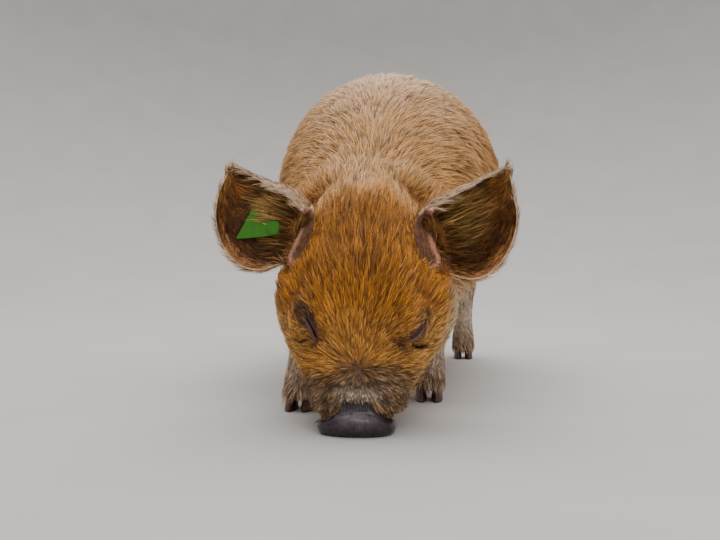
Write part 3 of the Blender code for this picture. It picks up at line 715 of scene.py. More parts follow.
def ear_colour(points, place, hind, hollow, hair):
    """Colours of an ear: pale behind, dark in the hollow with painted shade deepest in its cup, with a
    fleshy lower edge.
    """
    out, across = ear_map["out"][place], ear_map["across"][place]
    across = np.where(hollow > 0.5, 0.5, across)
    root = ear_root(out, across)
    dark = np.tile(TINTS["ear dark"], (len(points), 1))
    inside = mix(dark, TINTS["ear hair"] if hair else TINTS["ear fuzz"], root)
    if hair:
        inside = mix(inside, TINTS["ear fuzz"], 0.75 + 0.35 * waves(points, 0.008, 22) - root)
    inside = inside * (1 + 0.20 * waves(points, 0.012, 21))[:, None]
    # painted shade, darkest deep in the cup of the hollow
    sunk = bell(out - 0.45, 0.30) * bell(across - 0.66, 0.17)
    inside = mix(inside, TINTS["ear dark"], sunk * 0.85)
    inside = mix(inside, TINTS["ear hair"], rise(out, 0.70, 0.95) * 0.4)
    inside = mix(inside, TINTS["ear lobe"], rise(across, 0.78, 0.90) * (1 - rise(out, 0.55, 0.75)))
    if not hair:
        inside = mix(inside, TINTS["ear rim"], ear_edge(out, across) * (1 - rise(across, 0.7, 0.8)))
    by_fold = (1 - rise(out, 0.03, 0.16)) * (1 - rise(across, 0.10, 0.30))
    outside = mix(np.tile(TINTS["ear back"], (len(points), 1)), TINTS["nape"], by_fold)
    return mix(inside, outside, hind)


def face_share(points):
    """Share of the face's colour, which fades out over the nape and reaches further back beside the ears
    as painted light.
    """
    side, back, height = parts(points)
    past = past_nape(back, height) + 0.005 * waves(points, 0.03, 14)
    # beside the ears the face's paler colour reaches further back: painted light on hair that lies in
    # shade in the hollow behind each ear
    past += 0.040 * rise(np.abs(side), 0.014, 0.030) * rise(height, 0.130, 0.142)
    return region(points)[0] ** 0.3 * (1 - rise(past, -0.048, 0.006))


def coat_colour(points, normals, hair):
    """Colours at points, of the hair or else of the skin under it."""
    head, leg, tail = region(points)
    side, back, height = parts(points)
    # the back's pale colour, made paler still as painted light from above
    colour = np.tile(TINTS["spine"], (len(points), 1))
    colour = mix(colour, TINTS["nape"], 1 - rise(back, 0.10, 0.22))
    colour = mix(colour, TINTS["flank"], rise(np.abs(side), 0.035, 0.100) * 0.9)
    colour = mix(colour, TINTS["belly"], rise(-normals[:, 2], 0.45, 0.9))
    colour = mix(colour, face_colour(points), face_share(points))
    # the legs' cream, made paler still as painted light from the floor, and dirtier down to the foot
    shank = mix(np.tile(TINTS["leg"], (len(points), 1)), TINTS["foot"], 1 - rise(height, 0.020, 0.050))
    colour = mix(colour, shank, leg)
    colour = mix(colour, TINTS["tail"], tail)
    if not hair:
        colour = colour * np.array((0.58, 0.52, 0.48))
    ear, place, hind, hollow = ear_facts(points)
    colour = mix(colour, ear_colour(points, place, hind, hollow, hair), ear)
    nearest, beyond = from_fold(points)
    fold = (1 - rise(nearest, 0.0066, 0.0078)) * rise(beyond, -0.0050, -0.0034)
    fold = fold * (1 - rise(back, 0.055, 0.062))
    colour = mix(colour, TINTS["fold"], fold)
    # painted highlight along the top of the fold's ridge
    colour = mix(colour, TINTS["fold ridge highlight"], fold * bell(beyond - FOLD_RIDGE, 0.0015))
    return np.clip(colour * (1 + 0.10 * waves(points, 0.030, 3))[:, None], 0.004, 1)


def paint(mesh, colours):
    """Keeps a colour for each vertex in the attribute that the materials read."""
    layer = mesh.color_attributes.new("coat tint", "FLOAT_COLOR", "POINT")
    flat = np.ones((len(colours), 4), np.float32)
    flat[:, :3] = colours
    layer.data.foreach_set("color", flat.ravel())


points, normals = points_of(skin.data), normals_of(skin.data)
snout = bare(points)
wrinkle = 0.16 * waves(points, 0.006, 31) + 0.12 * waves(points, 0.0022, 32)
side, back, height = parts(points)
# painted highlight: the swelling in the middle of the snout is painted paler where light gleams on it
lit = bell(height - 0.0115, 0.0050) * np.exp(-((side - SNOUT_MIDDLE) / 0.0125) ** 4)
disc_colour = mix(np.tile(TINTS["snout"], (len(points), 1)), TINTS["snout highlight"], lit)
colours = mix(coat_colour(points, normals, hair=False), disc_colour, snout)
paint(skin.data, colours * (1 + snout * wrinkle)[:, None])
layer = skin.data.attributes.new("wet", "FLOAT", "POINT")
layer.data.foreach_set("value", snout.astype(np.float32))

# hide, living and unworked: dull where it is dry, a sharp gleam where the snout is wet, specks
# 2.4 mm apart, streaks 4 mm apart, and pores drawn 1.1 mm apart, coarser than life so that they show
SPECKS, STREAKS, PORES = 420.0, 260.0, 900.0
skin_material, tree, shader = new_material("hide", IOR=1.42)
place = add(tree, "ShaderNodeTexCoord").outputs["Object"]
tint = add(tree, "ShaderNodeAttribute", attribute_name="coat tint").outputs["Color"]
wet = add(tree, "ShaderNodeAttribute", attribute_name="wet").outputs["Fac"]
specks = add(tree, "ShaderNodeTexNoise", {"Vector": place, "Scale": SPECKS, "Detail": 3.0})
shade = add(tree, "ShaderNodeMapRange", {
    "Value": specks.outputs["Fac"], "From Min": 0.35, "From Max": 0.65, "To Min": 0.8, "To Max": 1.2,
})
toned = add(
    tree, "ShaderNodeVectorMath", {0: tint, 1: shade.outputs["Result"]}, operation="MULTIPLY"
)
tree.links.new(toned.outputs["Vector"], shader.inputs["Base Color"])
streaks = add(tree, "ShaderNodeTexNoise", {"Vector": place, "Scale": STREAKS, "Detail": 2.0})
gloss = add(tree, "ShaderNodeMapRange", {"Value": wet, "To Min": 0.62, "To Max": 0.14})
patchy = add(tree, "ShaderNodeMath", {0: streaks.outputs["Fac"], 1: 0.25}, operation="MULTIPLY")
rough = add(
    tree, "ShaderNodeMath", {0: gloss.outputs["Result"], 1: patchy.outputs["Value"]}, operation="ADD"
)
tree.links.new(rough.outputs["Value"], shader.inputs["Roughness"])
pores = add(tree, "ShaderNodeTexVoronoi", {"Vector": place, "Scale": PORES})
bumps = add(tree, "ShaderNodeBump", {
    "Height": pores.outputs["Distance"], "Strength": 0.2, "Distance": 0.0004,
})
tree.links.new(bumps.outputs["Normal"], shader.inputs["Normal"])
skin.data.materials.clear()
skin.data.materials.append(skin_material)
for polygon in skin.data.polygons:
    polygon.use_smooth = True

# Eyes: whole balls, dark and wet, each turning behind nearly closed lids, with a slight bulge
# of the cornea in front. The thin gap between the lids shows only a band of each.
CORNEA_START = EYE_RADIUS * 0.80
CORNEA_BULGE = 0.30

# cornea under a film of tears: almost a mirror over a near-black brown with faint clouds 3 mm apart
eye_material, tree, shader = new_material(
    "wet_eye", Roughness=0.06, IOR=1.38, Coat_Weight=1.0, Coat_Roughness=0.03
)
place = add(tree, "ShaderNodeTexCoord").outputs["Object"]
veins = add(tree, "ShaderNodeTexNoise", {"Vector": place, "Scale": 300.0, "Detail": 4.0})
tree.links.new(two_tones(tree, "#100906", "#301b10", veins.outputs["Fac"]), shader.inputs["Base Color"])
for name, centre in EYES.items():
    along, outward, up = lid_axes(name)
    look = (outward - up * 0.25).normalized()
    bm = bmesh.new()
    bmesh.ops.create_uvsphere(bm, u_segments=40, v_segments=28, radius=EYE_RADIUS)
    for vert in bm.verts:
        if vert.co.z > CORNEA_START:
            vert.co.z += (vert.co.z - CORNEA_START) * CORNEA_BULGE
    bmesh.ops.transform(bm, matrix=look.to_track_quat("Z", "Y").to_matrix().to_4x4(), verts=bm.verts)
    bmesh.ops.translate(bm, vec=centre, verts=bm.verts)
    ball = keep_object("ball_" + name, bm, eye_material)
    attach(ball, "root")
    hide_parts(name)

# Claws: two of horn on each foot and two dewclaws behind, worn flat underneath, with faint
# growth rings and dirt. Their roots sit in the skin of the leg.
CLAW_TOP = 0.0132
CLAW_LEAN = 0.0056
DEWCLAW_RADII = (0.0028, 0.0031, 0.0063)
DEWCLAW_TILT = math.radians(28)

# horn, grown in rings 6 mm apart and worn: a dull shine, dark brown, with dirt in 8 mm patches
horn_material, tree, shader = new_material("claw_horn", Roughness=0.42)
place = add(tree, "ShaderNodeTexCoord").outputs["Object"]
rings = add(
    tree, "ShaderNodeTexWave",
    {"Vector": place, "Scale": 160.0, "Distortion": 3.0, "Detail": 2.0}, bands_direction="Z",
)
grime = add(tree, "ShaderNodeTexNoise", {"Vector": place, "Scale": 130.0, "Detail": 5.0})
tree.links.new(two_tones(tree, "#1e110d", "#5c3024", grime.outputs["Fac"]), shader.inputs["Base Color"])
ridges = add(tree, "ShaderNodeBump", {
    "Height": rings.outputs["Fac"], "Strength": 0.35, "Distance": 0.0004,
})
tree.links.new(ridges.outputs["Normal"], shader.inputs["Normal"])


def hoof(low, high, inner):
    """bmesh of one claw in its box: flat sole, blunt toe to the front, flatter inner wall."""
    middle, half = (low + high) / 2, (high - low) / 2
    bm = bmesh.new()
    rows, columns = 10, 36
    ring_edges = []
    for i in range(rows):
        share = i / (rows - 1)
        scale = 1.05 - 0.16 * share - (0.08 if i == 0 else 0)
        verts = []
        for j in range(columns):
            angle = math.tau * j / columns
            x = math.copysign(abs(math.cos(angle)) ** 0.8, math.cos(angle))
            y = math.copysign(abs(math.sin(angle)) ** 0.9, math.sin(angle))
            x *= 1 - 0.42 * max(0, -y) ** 2
            if x * inner > 0:
                x *= 0.80
            verts.append(bm.verts.new((
                middle.x + half.x * (scale - 0.03 - 0.10 * share ** 2) * x,
                middle.y + half.y * scale * y + CLAW_LEAN * (share - 0.4),
                low.z + (CLAW_TOP - low.z) * share,
            )))
        ring_edges.append([bm.edges.new((verts[k - 1], verts[k])) for k in range(columns)])
    for first, second in zip(ring_edges, ring_edges[1:]):
        bmesh.ops.bridge_loops(bm, edges=first + second)
    for ends in (ring_edges[0], ring_edges[-1]):
        bmesh.ops.holes_fill(bm, edges=ends, sides=0)
    bmesh.ops.recalc_face_normals(bm, faces=bm.faces)
    return bm


for foot in ("front_left", "front_right", "hind_left", "hind_right"):
    outside = 1 if "left" in foot else -1
    for which, inner in (("outer", -outside), ("inner", outside)):
        name = f"{foot}_claw_{which}"
        claw = keep_object("horn_" + name, hoof(*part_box(name), inner), horn_material)
        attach(claw, "root")
        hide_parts(name)
        name = f"{foot}_dewclaw_{which}"
        low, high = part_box(name)
        bm = bmesh.new()
        bmesh.ops.create_uvsphere(bm, u_segments=20, v_segments=14, radius=1)
        for vert in bm.verts:
            vert.co.z = max(vert.co.z, -0.86)
            vert.co.x *= 1.08
        shape = (Matrix.Translation((low + high) / 2) @ Matrix.Rotation(DEWCLAW_TILT, 4, "X")
                 @ Matrix.Diagonal((*DEWCLAW_RADII, 1)))
        bmesh.ops.transform(bm, matrix=shape, verts=bm.verts)
        claw = keep_object("horn_" + name, bm, horn_material)
        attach(claw, "root")
        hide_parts(name)

# Ear tag: a flag of soft moulded plastic on a pin through the right ear, with a round stud
# behind. It is plain, with rounded corners.
TAG_THICK = 0.0016
TAG_CORNER = 0.0016
TAG_BEFORE_STUD = 0.0152
TAG_AXIS = Vector((-0.28, 0.96, -0.04)).normalized()
TAG_OUT = Vector((-0.93, -0.02, 0.0))
TAG_OUT = (TAG_OUT - TAG_AXIS * TAG_OUT.dot(TAG_AXIS)).normalized()
TAG_DOWN = TAG_AXIS.cross(TAG_OUT)
TAG_DOWN = -TAG_DOWN if TAG_DOWN.z > 0 else TAG_DOWN
TAG_OUTLINE = (
    (-0.0045, -0.0045), (0.0050, -0.0080), (0.0140, -0.0130),
    (0.0250, 0.0080), (0.0140, 0.0070), (0.0050, 0.0060), (-0.0045, 0.0045),
)
SHARP = 0.8

# polyurethane, moulded: an even satin green, with faint scuffs 4 mm apart
plastic, tree, shader = new_material("tag_plastic", Roughness=0.38, Specular_IOR_Level=0.3)
place = add(tree, "ShaderNodeTexCoord").outputs["Object"]
scuffs = add(tree, "ShaderNodeTexNoise", {"Vector": place, "Scale": 240.0, "Detail": 5.0})
tree.links.new(two_tones(tree, "#2a6804", "#367e0a", scuffs.outputs["Fac"]), shader.inputs["Base Color"])
low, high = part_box("ear_tag_stud")
STUD = (low + high) / 2
TAG_FRONT = STUD - TAG_AXIS * TAG_BEFORE_STUD
bm = bmesh.new()
corners = [bm.verts.new(TAG_FRONT + TAG_OUT * out + TAG_DOWN * drop) for out, drop in TAG_OUTLINE]
bm.faces.new(corners)
bmesh.ops.bevel(
    bm, geom=bm.verts[:], offset=TAG_CORNER, affect="VERTICES", segments=4, profile=0.5, material=-1
)
walls = bmesh.ops.extrude_face_region(bm, geom=bm.faces[:], use_keep_orig=True)
for item in walls["geom"]:
    if isinstance(item, bmesh.types.BMVert):
        item.co += TAG_AXIS * TAG_THICK
bmesh.ops.recalc_face_normals(bm, faces=bm.faces)
edges = [edge for edge in bm.edges if edge.calc_face_angle(0) > SHARP]
bmesh.ops.bevel(
    bm, geom=edges, offset=0.0004, affect="EDGES", segments=2, profile=0.5, material=-1
)
turn = TAG_AXIS.to_track_quat("Z", "Y").to_matrix().to_4x4()

# the boss round the pin, and the pin
for radius, length, along in ((0.0044, 0.0012, -0.0004), (0.0021, 0.0160, 0.0080)):
    bmesh.ops.create_cone(
        bm, cap_ends=True, segments=36, radius1=radius, radius2=radius * 0.94, depth=length,
        matrix=Matrix.Translation(TAG_FRONT + TAG_AXIS * along) @ turn,
    )
tag = keep_object("flag_tag", bm, plastic, smooth=False)
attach(tag, "root")
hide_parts("ear_tag")
bm = bmesh.new()
bmesh.ops.create_cone(
    bm, cap_ends=True, segments=48, radius1=0.0088, radius2=0.0088, depth=0.0030,
    matrix=Matrix.Translation(STUD) @ turn,
)
edges = [edge for edge in bm.edges if edge.calc_face_angle(0) > SHARP]
bmesh.ops.bevel(
    bm, geom=edges, offset=0.0009, affect="EDGES", segments=3, profile=0.5, material=-1
)
stud = keep_object("stud", bm, plastic, smooth=False)
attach(stud, "root")
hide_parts("ear_tag_stud")

# Coat: straight, rather coarse hair in small tufts, each hair rooted in the skin. It starts
# from a whorl above the snout, spreads up over the face, and lies back along the neck and body
# and down the legs.
MAP_FACES = 24000
HAIR_OFF_FLOOR = 0.0004
ROOT_DEPTH = 0.0009
PATCH = 0.003

# the unwrap of the skin's own shape, on a copy with fewer faces
lie_map = bpy.data.objects.new("lie map", skin.data.copy())
scene.collection.objects.link(lie_map)
skin.data.calc_loop_triangles()
fewer = lie_map.modifiers.new("fewer", "DECIMATE")
fewer.ratio = MAP_FACES / len(skin.data.loop_triangles)
fewer.use_collapse_triangulate = True
settle(lie_map)
for obj in bpy.context.selected_objects:
    obj.select_set(False)
bpy.context.view_layer.objects.active = lie_map
lie_map.select_set(True)
bpy.ops.object.mode_set(mode="EDIT")
bpy.ops.mesh.select_all(action="SELECT")
bpy.ops.uv.smart_project(angle_limit=math.radians(66), island_margin=0.004)
bpy.ops.object.mode_set(mode="OBJECT")
map_mesh = lie_map.data
map_mesh.calc_loop_triangles()
corner_points, corner_normals = points_of(map_mesh), normals_of(map_mesh)
triangles = np.empty(len(map_mesh.loop_triangles) * 3, np.int32)
map_mesh.loop_triangles.foreach_get("vertices", triangles)
triangles = triangles.reshape(-1, 3)
loops = np.empty(len(map_mesh.loop_triangles) * 3, np.int32)
map_mesh.loop_triangles.foreach_get("loops", loops)
loops = loops.reshape(-1, 3)
unwrap = np.empty(len(map_mesh.loops) * 2, np.float32)
map_mesh.uv_layers.active.uv.foreach_get("vector", unwrap)
unwrap = unwrap.reshape(-1, 2)
bpy.data.objects.remove(lie_map)
skin_tree = bvhtree.BVHTree.FromObject(skin, bpy.context.evaluated_depsgraph_get())


def toward(values, target, share):
    """Values moved by a share toward a target, for numbers or for rows of them."""
    return values + (target - values) * (share if np.ndim(values) == 1 else share[:, None])


def tag_shadow(points):
    """1 at points just behind the plate of the ear tag."""
    away = points - np.array(TAG_FRONT)
    out, drop, behind = (away @ np.array(axis) for axis in (TAG_OUT, TAG_DOWN, TAG_AXIS))
    inside = rise(out, -0.004, 0.001) * (1 - rise(out, 0.025, 0.030))
    inside = inside * (1 - rise(np.abs(drop), 0.011, 0.015))
    return inside * ((behind > 0) & (behind < 0.020))


def hair_plan(points, normals):
    """Hairs a square centimetre, their length and width in metres, slope at the root, and lie."""
    head, leg, tail = region(points)
    side, back, height = parts(points)
    sign = np.where(side < 0, -1.0, 1.0)
    flat = np.zeros(len(points))

    # trunk: longest along the spine, short under the belly, sideways over the shoulders
    shoulder = 1 - rise(back, 0.16, 0.30)
    dense = flat + 72
    length = flat + 19 - 5 * rise(-normals[:, 2], 0.3, 0.9) + 3 * bell(side, 0.02)
    width = flat + 0.42
    slope = flat + 0.36
    lie = unit(np.stack([
        (0.12 + 0.55 * shoulder) * side / 0.05,
        flat + 1,
        -0.45 * rise(np.abs(side), 0.03, 0.10) - 1.6 * rise(back, 0.43, 0.47),
    ], axis=1))

    # head: short and close on the muzzle, longer up the face and back along the cheeks
    face_length = 10 + 5 * rise(height, 0.050, 0.110) + 4 * rise(height, 0.13, 0.165)
    face_length = face_length + 4 * rise(back, 0.03, 0.08)
    low = 1 - rise(height + 0.12 * np.abs(side), 0.030, 0.046)
    face_length = toward(face_length, 3.9 + 3.0 * rise(back, 0.012, 0.040), low)
    pale = np.exp(-((side - 0.0022) / 0.0105) ** 4) * bell(height - 0.0245, 0.0034) * (back < 0.012)
    face_length = toward(face_length, 2.6, pale)
    face_dense = 185 + 60 * low + 60 * pale
    face_width = 0.36 - 0.11 * low
    face_slope = 0.36 + 0.20 * low
    for name in EYES:
        along, across, near = at_eye(points, name)
        around = near * np.exp(-(np.hypot(along / 1.2, across + 0.0015) / 0.0135) ** 4)
        face_length = toward(face_length, 4.6, around)
        bag, crease, tear = at_bag(points, name)
        by_lid = near * np.exp(-(np.hypot((along + 0.0020) / 1.8, across + 0.0010) / 0.0050) ** 4)
        from_bag = np.hypot(side - BAGS[name][0], height - BAGS[name][1] + 0.0020)
        by_bag = np.exp(-(from_bag / 0.0085) ** 4) * (back < 0.026)
        face_length = toward(face_length, 2.6, np.maximum(by_bag, by_lid))
        face_dense = toward(face_dense, 210, around)
        face_width = toward(face_width, 0.30, around)
        face_slope = toward(face_slope, 0.38, around)
    flow = unit(points - WHORL) * (1 - rise(height, 0.10, 0.16))[:, None]
    flow = flow + np.array((0, 0.55, 0.35)) * rise(height, 0.085, 0.15)[:, None]
    nearest, beyond = from_fold(points)
    by_fold = (1 - rise(nearest, 0.006, 0.018)) * (beyond < 0.004) * (1 - rise(height, 0.124, 0.136))
    flow[:, 0] -= sign * by_fold * 0.75
    face_length = toward(face_length, 5.0, by_fold)
    in_fold = (nearest < FOLD_REACH) * (beyond > -FOLD_FRONT) * (back < 0.060)
    face_length = toward(face_length, 4.2, in_fold)
    face_dense = toward(face_dense, 60, in_fold)
    face_width = toward(face_width, 0.22, in_fold)
    under = (1 - rise(nearest, 0.012, 0.024)) * (1 - rise(height, 0.103, 0.110))
    under = under * (beyond > -0.006)
    flow = flow + np.stack([sign * 1.1, flat + 0.3, flat - 0.3], axis=1) * under[:, None]
    face_length = toward(face_length, 6.0, under)
    by_whorl = bell(np.linalg.norm(points - WHORL, axis=1), 0.012)
    face_length = toward(face_length, 6.0, by_whorl * rise(height, 0.034, 0.040))
    face_slope = toward(face_slope, 0.30, by_whorl)
    face_width = toward(face_width, 0.42, by_whorl)
    dense = toward(dense, face_dense, head)
    length = toward(length, face_length, head)
    width = toward(width, face_width, head)
    slope = toward(slope, face_slope, head)
    lie = toward(lie, unit(flow), head)
    against = rise(-(normals * unit(lie)).sum(axis=1), 0.30, 0.70) * rise(height, 0.135, 0.145)
    against *= head * (1 - rise(back, 0.073, 0.085)) * rise(np.abs(side), 0.012, 0.020)
    length = toward(length, 8.0, against)
    slope = toward(slope, 0.80, against)

    # legs: close, shorter down to the foot, with a denser fringe over the claws
    coronet = 1 - rise(height, 0.015, 0.023)
    dense = toward(dense, 120 + 110 * coronet, leg)
    length = toward(length, 6.5 + 8 * rise(height, 0.030, 0.090) + 4.5 * coronet, leg)
    width = toward(width, 0.34, leg)
    slope = toward(slope, 0.28 + 0.12 * coronet, leg)
    lie = toward(lie, np.stack([0.1 * sign, flat + 0.15, flat - 1.0], axis=1), leg)

    # ears: long hair out of the hollow, short on the back, a fringe at the rims, a sparse fold
    ear, place, hind, hollow = ear_facts(points)
    out, across = ear_map["out"][place], ear_map["across"][place]
    root = ear_root(out, across)
    by_root = 1 - rise(out, 0.12, 0.32)
    rims = rise(across, 0.90, 0.97) + 1 - rise(across, 0.03, 0.10) + rise(out, 0.86, 0.95)
    rims = np.clip(rims, 0, 1)
    inside = 1 - hind
    turn = 0.25 * inside * (1 - 2 * across) - 0.50 * hind * (1 - 2 * across)
    ear_lie = ear_map["outward"][place] + ear_map["downward"][place] * turn[:, None]
    dense = toward(dense, toward(flat + 130, 150 - 45 * root, inside), ear)
    ear_length = toward(7.0 + 4.0 * rims + 4.0 * by_root, 10 + 11 * root - 6 * rims, inside)
    length = toward(length, ear_length, ear)
    width = toward(width, toward(0.32 - 0.08 * rims, 0.28 + 0.04 * root, inside), ear)
    slope = toward(slope, toward(0.42 + 0.16 * rims, 0.42 + 0.26 * root, inside), ear)
    lie = toward(lie, ear_lie, ear)
    under_tag = tag_shadow(points) * ear * inside
    length = toward(length, 4, under_tag)
    slope = toward(slope, 0.2, under_tag)
    sparse = in_fold * (height > 0.104)
    dense = toward(dense, 60, sparse)
    length = toward(length, 4.2, sparse)

    # tail: longer and close together on the tuft
    tuft = 1 - rise(height, 0.165, 0.185)
    dense = toward(dense, 90 + 260 * tuft, tail)
    length = toward(length, 11 + 9 * tuft, tail)
    width = toward(width, 0.42, tail)
    slope = toward(slope, 0.34 - 0.12 * tuft, tail)
    lie = toward(lie, np.array((0, -0.05, -1.0)), tail)
    return dense, length / 1000, width / 1000, slope, unit(lie)


def bald(points):
    """True where no hair grows: snout, lids' edges, creases under them, ears' edges, and soles."""
    side, back, height = parts(points)
    none = bare(points) > 0.35
    for name, centre in EYES.items():
        along, across, near = at_eye(points, name)
        lid = np.hypot((along + 0.0012) / 0.0062, (across - 0.0004) / 0.0024) < 1
        none |= (near > 0) & (lid | (np.abs(along) < 0.0078) & (np.abs(across) < 0.0009))
        none |= at_bag(points, name)[1] > 0.55
        none |= np.linalg.norm(points - np.array(centre), axis=1) < EYE_RADIUS * 1.06
    ear, place, hind, hollow = ear_facts(points)
    out, across = ear_map["out"][place], ear_map["across"][place]
    edge = ear_edge(out, across) * rise(out, 0.10, 0.16)
    none |= (ear > 0.5) & (hind < 0.98) & (hollow < 0.5) & (edge > 0.5)
    none |= (ear > 0.5) & (hind < 0.50) & (out > 0.92)
    return none | (height < np.where(back < 0.045, 0.0070, 0.0125))


def roots(seed):
    """Roots of all hairs: points, normals and places on the unwrap of the skin."""
    rng = np.random.default_rng(seed)
    a, b, c = (corner_points[triangles[:, i]] for i in range(3))
    across = np.cross(b - a, c - a)
    area = np.linalg.norm(across, axis=1) / 2
    expected = area * 1e4 * hair_plan((a + b + c) / 3, unit(across))[0]
    chosen = rng.choice(len(area), int(expected.sum()), p=expected / expected.sum())
    u, v = rng.random((2, len(chosen)))
    fold = u + v > 1
    u[fold], v[fold] = 1 - u[fold], 1 - v[fold]
    share = np.stack([1 - u - v, u, v], axis=1)
    spot = (corner_points[triangles[chosen]] * share[:, :, None]).sum(axis=1)
    normal = unit((corner_normals[triangles[chosen]] * share[:, :, None]).sum(axis=1))
    on_map = (unwrap[loops[chosen]] * share[:, :, None]).sum(axis=1)
    spot = np.array([skin_tree.find_nearest(point)[0] for point in spot.tolist()])
    keep = ~bald(spot)
    return spot[keep], normal[keep], on_map[keep]


# a blade's rows: place along the hair, share of its width, and shade, which is painted shade near the
# root and a painted highlight toward the tip
LONG_BLADE = ((0.0, 1.0, 0.18), (0.36, 0.92, 0.74), (0.72, 0.58, 1.18), (1.0, 0.0, 1.42))
SHORT_BLADE = ((0.0, 1.0, 0.17), (0.50, 0.90, 0.90), (1.0, 0.0, 1.50))
# how strongly the painted shade and highlight work on red, green and blue, by the four-sided faces of a
# blade
SHADE_POWERS = {2: (1.0, 1.0, 1.05), 1: (0.95, 1.10, 1.20)}


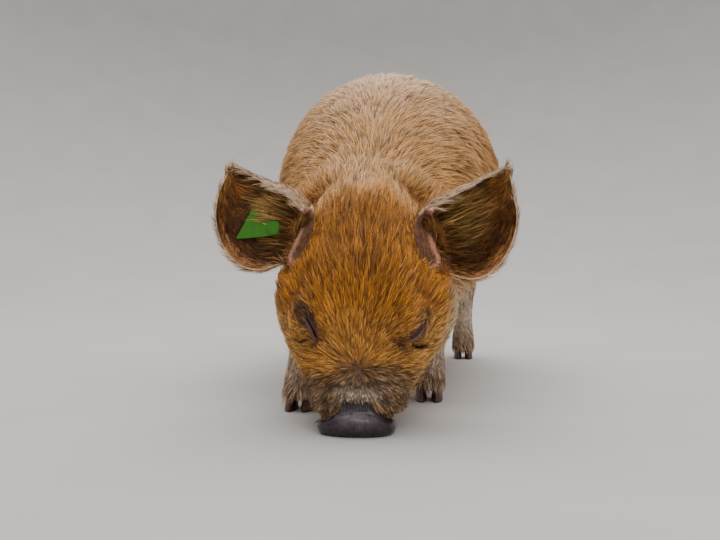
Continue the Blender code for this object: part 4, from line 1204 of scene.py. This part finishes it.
def grow(name, spot, normal, on_map, seed, blade=LONG_BLADE, longer=1.0, stray=1.0):
    """One piece of coat: a tapered blade for each hair, neighbours drawn together into tufts."""
    rng = np.random.default_rng(seed)
    number = len(spot)
    dense, length, width, slope, lie = hair_plan(spot, normal)
    length = length * longer
    lie = unit(lie - normal * (lie * normal).sum(axis=1, keepdims=True))
    across = np.cross(normal, lie)
    centres = rng.choice(number, max(1, number // 8), replace=False)
    nearby = kdtree.KDTree(len(centres))
    for i, index in enumerate(centres):
        nearby.insert(spot[index], i)
    nearby.balance()
    mate = np.array([nearby.find(point)[1] for point in spot.tolist()])
    sway = rng.normal(0, 0.09, len(centres))[mate] + rng.normal(0, 0.06 * stray, number)
    sway += 0.10 * waves(spot, 0.035, 11)
    lie = unit(lie + across * sway[:, None])
    across = np.cross(normal, lie)
    length = length * rng.uniform(0.75, 1.12, number) * rng.uniform(0.85, 1.15, len(centres))[mate]
    width = width * rng.uniform(0.75, 1.25, number)
    odd = rng.random(number)
    guard = odd > 0.87
    width = np.where(guard | (odd < 0.08), width * 1.55, width)
    length = np.where(guard, length * 1.12, length)
    slope = slope * rng.uniform(0.7, 1.25, number) * rng.uniform(0.75, 1.25, len(centres))[mate]
    end_slope = -0.10 + rng.normal(0, 0.09, number)
    bend = rng.normal(0, 0.08 * stray, number)
    tip = spot + length[:, None] * (lie + normal * ((slope + end_slope) / 2)[:, None])
    pull = tip[centres][mate] - tip
    reach = np.maximum(np.linalg.norm(pull, axis=1), 1e-9)
    pull *= (np.minimum(1, 0.27 * length / reach) * np.where(guard, 0.3, 0.9) / stray)[:, None]
    roll = rng.uniform(-0.7, 0.7, number)
    flat = across * np.cos(roll)[:, None] + normal * np.sin(roll)[:, None]
    sunk = np.minimum(ROOT_DEPTH, 0.12 * length * slope)
    rows = []
    for step, share, _ in blade:
        up = slope * step - (slope - end_slope) / 2 * step ** 2
        point = spot - normal * sunk[:, None] + length[:, None] * (
            lie * step + normal * up[:, None] + across * (bend * step ** 2)[:, None]
        ) + pull * step ** 1.4
        half = flat * (width * share / 2)[:, None]
        rows += [point - half, point + half] if share else [point]
    corners = np.stack(rows, axis=1)
    corners[:, :, 2] = np.maximum(corners[:, :, 2], HAIR_OFF_FLOOR)
    fours = len(blade) - 2
    around = [2 * row + corner for row in range(fours) for corner in (0, 1, 3, 2)]
    around += [2 * fours, 2 * fours + 1, 2 * fours + 2]
    first = 4 * np.arange(fours + 1)
    mesh = bpy.data.meshes.new(name)
    mesh.vertices.add(number * len(rows))
    mesh.vertices.foreach_set("co", corners.astype(np.float32).ravel())
    mesh.loops.add(number * len(around))
    order = np.arange(number)[:, None] * len(rows) + np.array(around)
    mesh.loops.foreach_set("vertex_index", order.astype(np.int32).ravel())
    mesh.polygons.add(number * len(first))
    starts = np.arange(number)[:, None] * len(around) + first
    mesh.polygons.foreach_set("loop_start", starts.astype(np.int32).ravel())
    mesh.update(calc_edges=True)
    tone = np.exp(rng.normal(0, 0.24, number) + rng.normal(0, 0.27, len(centres))[mate])
    tone = np.where(guard, tone * 1.65, np.where(odd < 0.14, tone * 0.35, tone * 0.88))
    # painted shade dark at each hair's root and a painted highlight bright at its tip
    along = np.array([shade for _, share, shade in blade for _ in range(2 if share else 1)])
    along = along[:, None] ** np.array(SHADE_POWERS[fours])
    shade = coat_colour(spot, normal, hair=True)[:, None, :] * tone[:, None, None] * along
    shade *= np.minimum(1, 0.78 / shade.max(axis=2, keepdims=True))
    paint(mesh, np.maximum(shade.reshape(-1, 3), 0.003))
    places = np.array([
        (PATCH / 2, PATCH) if not share else (PATCH * right, PATCH * step)
        for step, share, _ in blade for right in ((0, 1) if share else (0,))
    ])
    layer = mesh.uv_layers.new(name="OFBake")
    layer.uv.foreach_set("vector", (on_map[:, None, :] + places[around]).astype(np.float32).ravel())
    mesh.materials.append(coat_material)
    obj = bpy.data.objects.new(name, mesh)
    scene.collection.objects.link(obj)
    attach(obj, "root")


# hair, coarse and clean: a soft shine along each, the colour kept by its own vertices, with painted
# shade at the roots and painted highlights at the tips
coat_material, tree, shader = new_material("coat_hair", Roughness=0.45, Specular_IOR_Level=0.25)
tint = add(tree, "ShaderNodeAttribute", attribute_name="coat tint").outputs["Color"]
tree.links.new(tint, shader.inputs["Base Color"])

spot, normal, on_map = roots(7)
head, leg, tail = region(spot)
ear = ear_facts(spot)[0]
owner = np.select([ear > 0.5, tail > 0.5, leg > 0.5, head > 0.5], [3, 4, 2, 1], 0)
for label, number, slot_name, blade, most in (
    ("body", 0, "back_coat", LONG_BLADE, 38000),
    ("head", 1, "face_coat", SHORT_BLADE, 62000),
    ("legs", 2, "leg_coat", SHORT_BLADE, 62000),
    ("ears", 3, "ear", SHORT_BLADE, 62000),
    ("tail", 4, "tail_coat", LONG_BLADE, 38000),
):
    mine = np.flatnonzero(owner == number)
    mine = mine[np.argsort(spot[mine, 2 if label == "head" else 1], kind="stable")]
    lots = math.ceil(len(mine) / most)
    for lot, chosen in enumerate(np.array_split(mine, lots)):
        name = f"coat_{label}" + (f"_{lot + 1}" if lots > 1 else "")
        seed = 100 + 10 * number + lot
        grow(name, spot[chosen], normal[chosen], on_map[chosen], seed, blade)

# whiskers: long stray hairs about the lips
WHISKERS = 90
side, back, height = parts(spot)
about_lips = (from_line(spot, MOUTH) < 0.012) & (np.abs(side) > 0.012)
about_lips &= (head > 0.5) & (height < 0.045)
chosen = np.random.default_rng(91).choice(np.flatnonzero(about_lips), WHISKERS, replace=False)
grow(
    "coat_whiskers", spot[chosen], normal[chosen], on_map[chosen], 92,
    longer=3.2, stray=3.0,
)
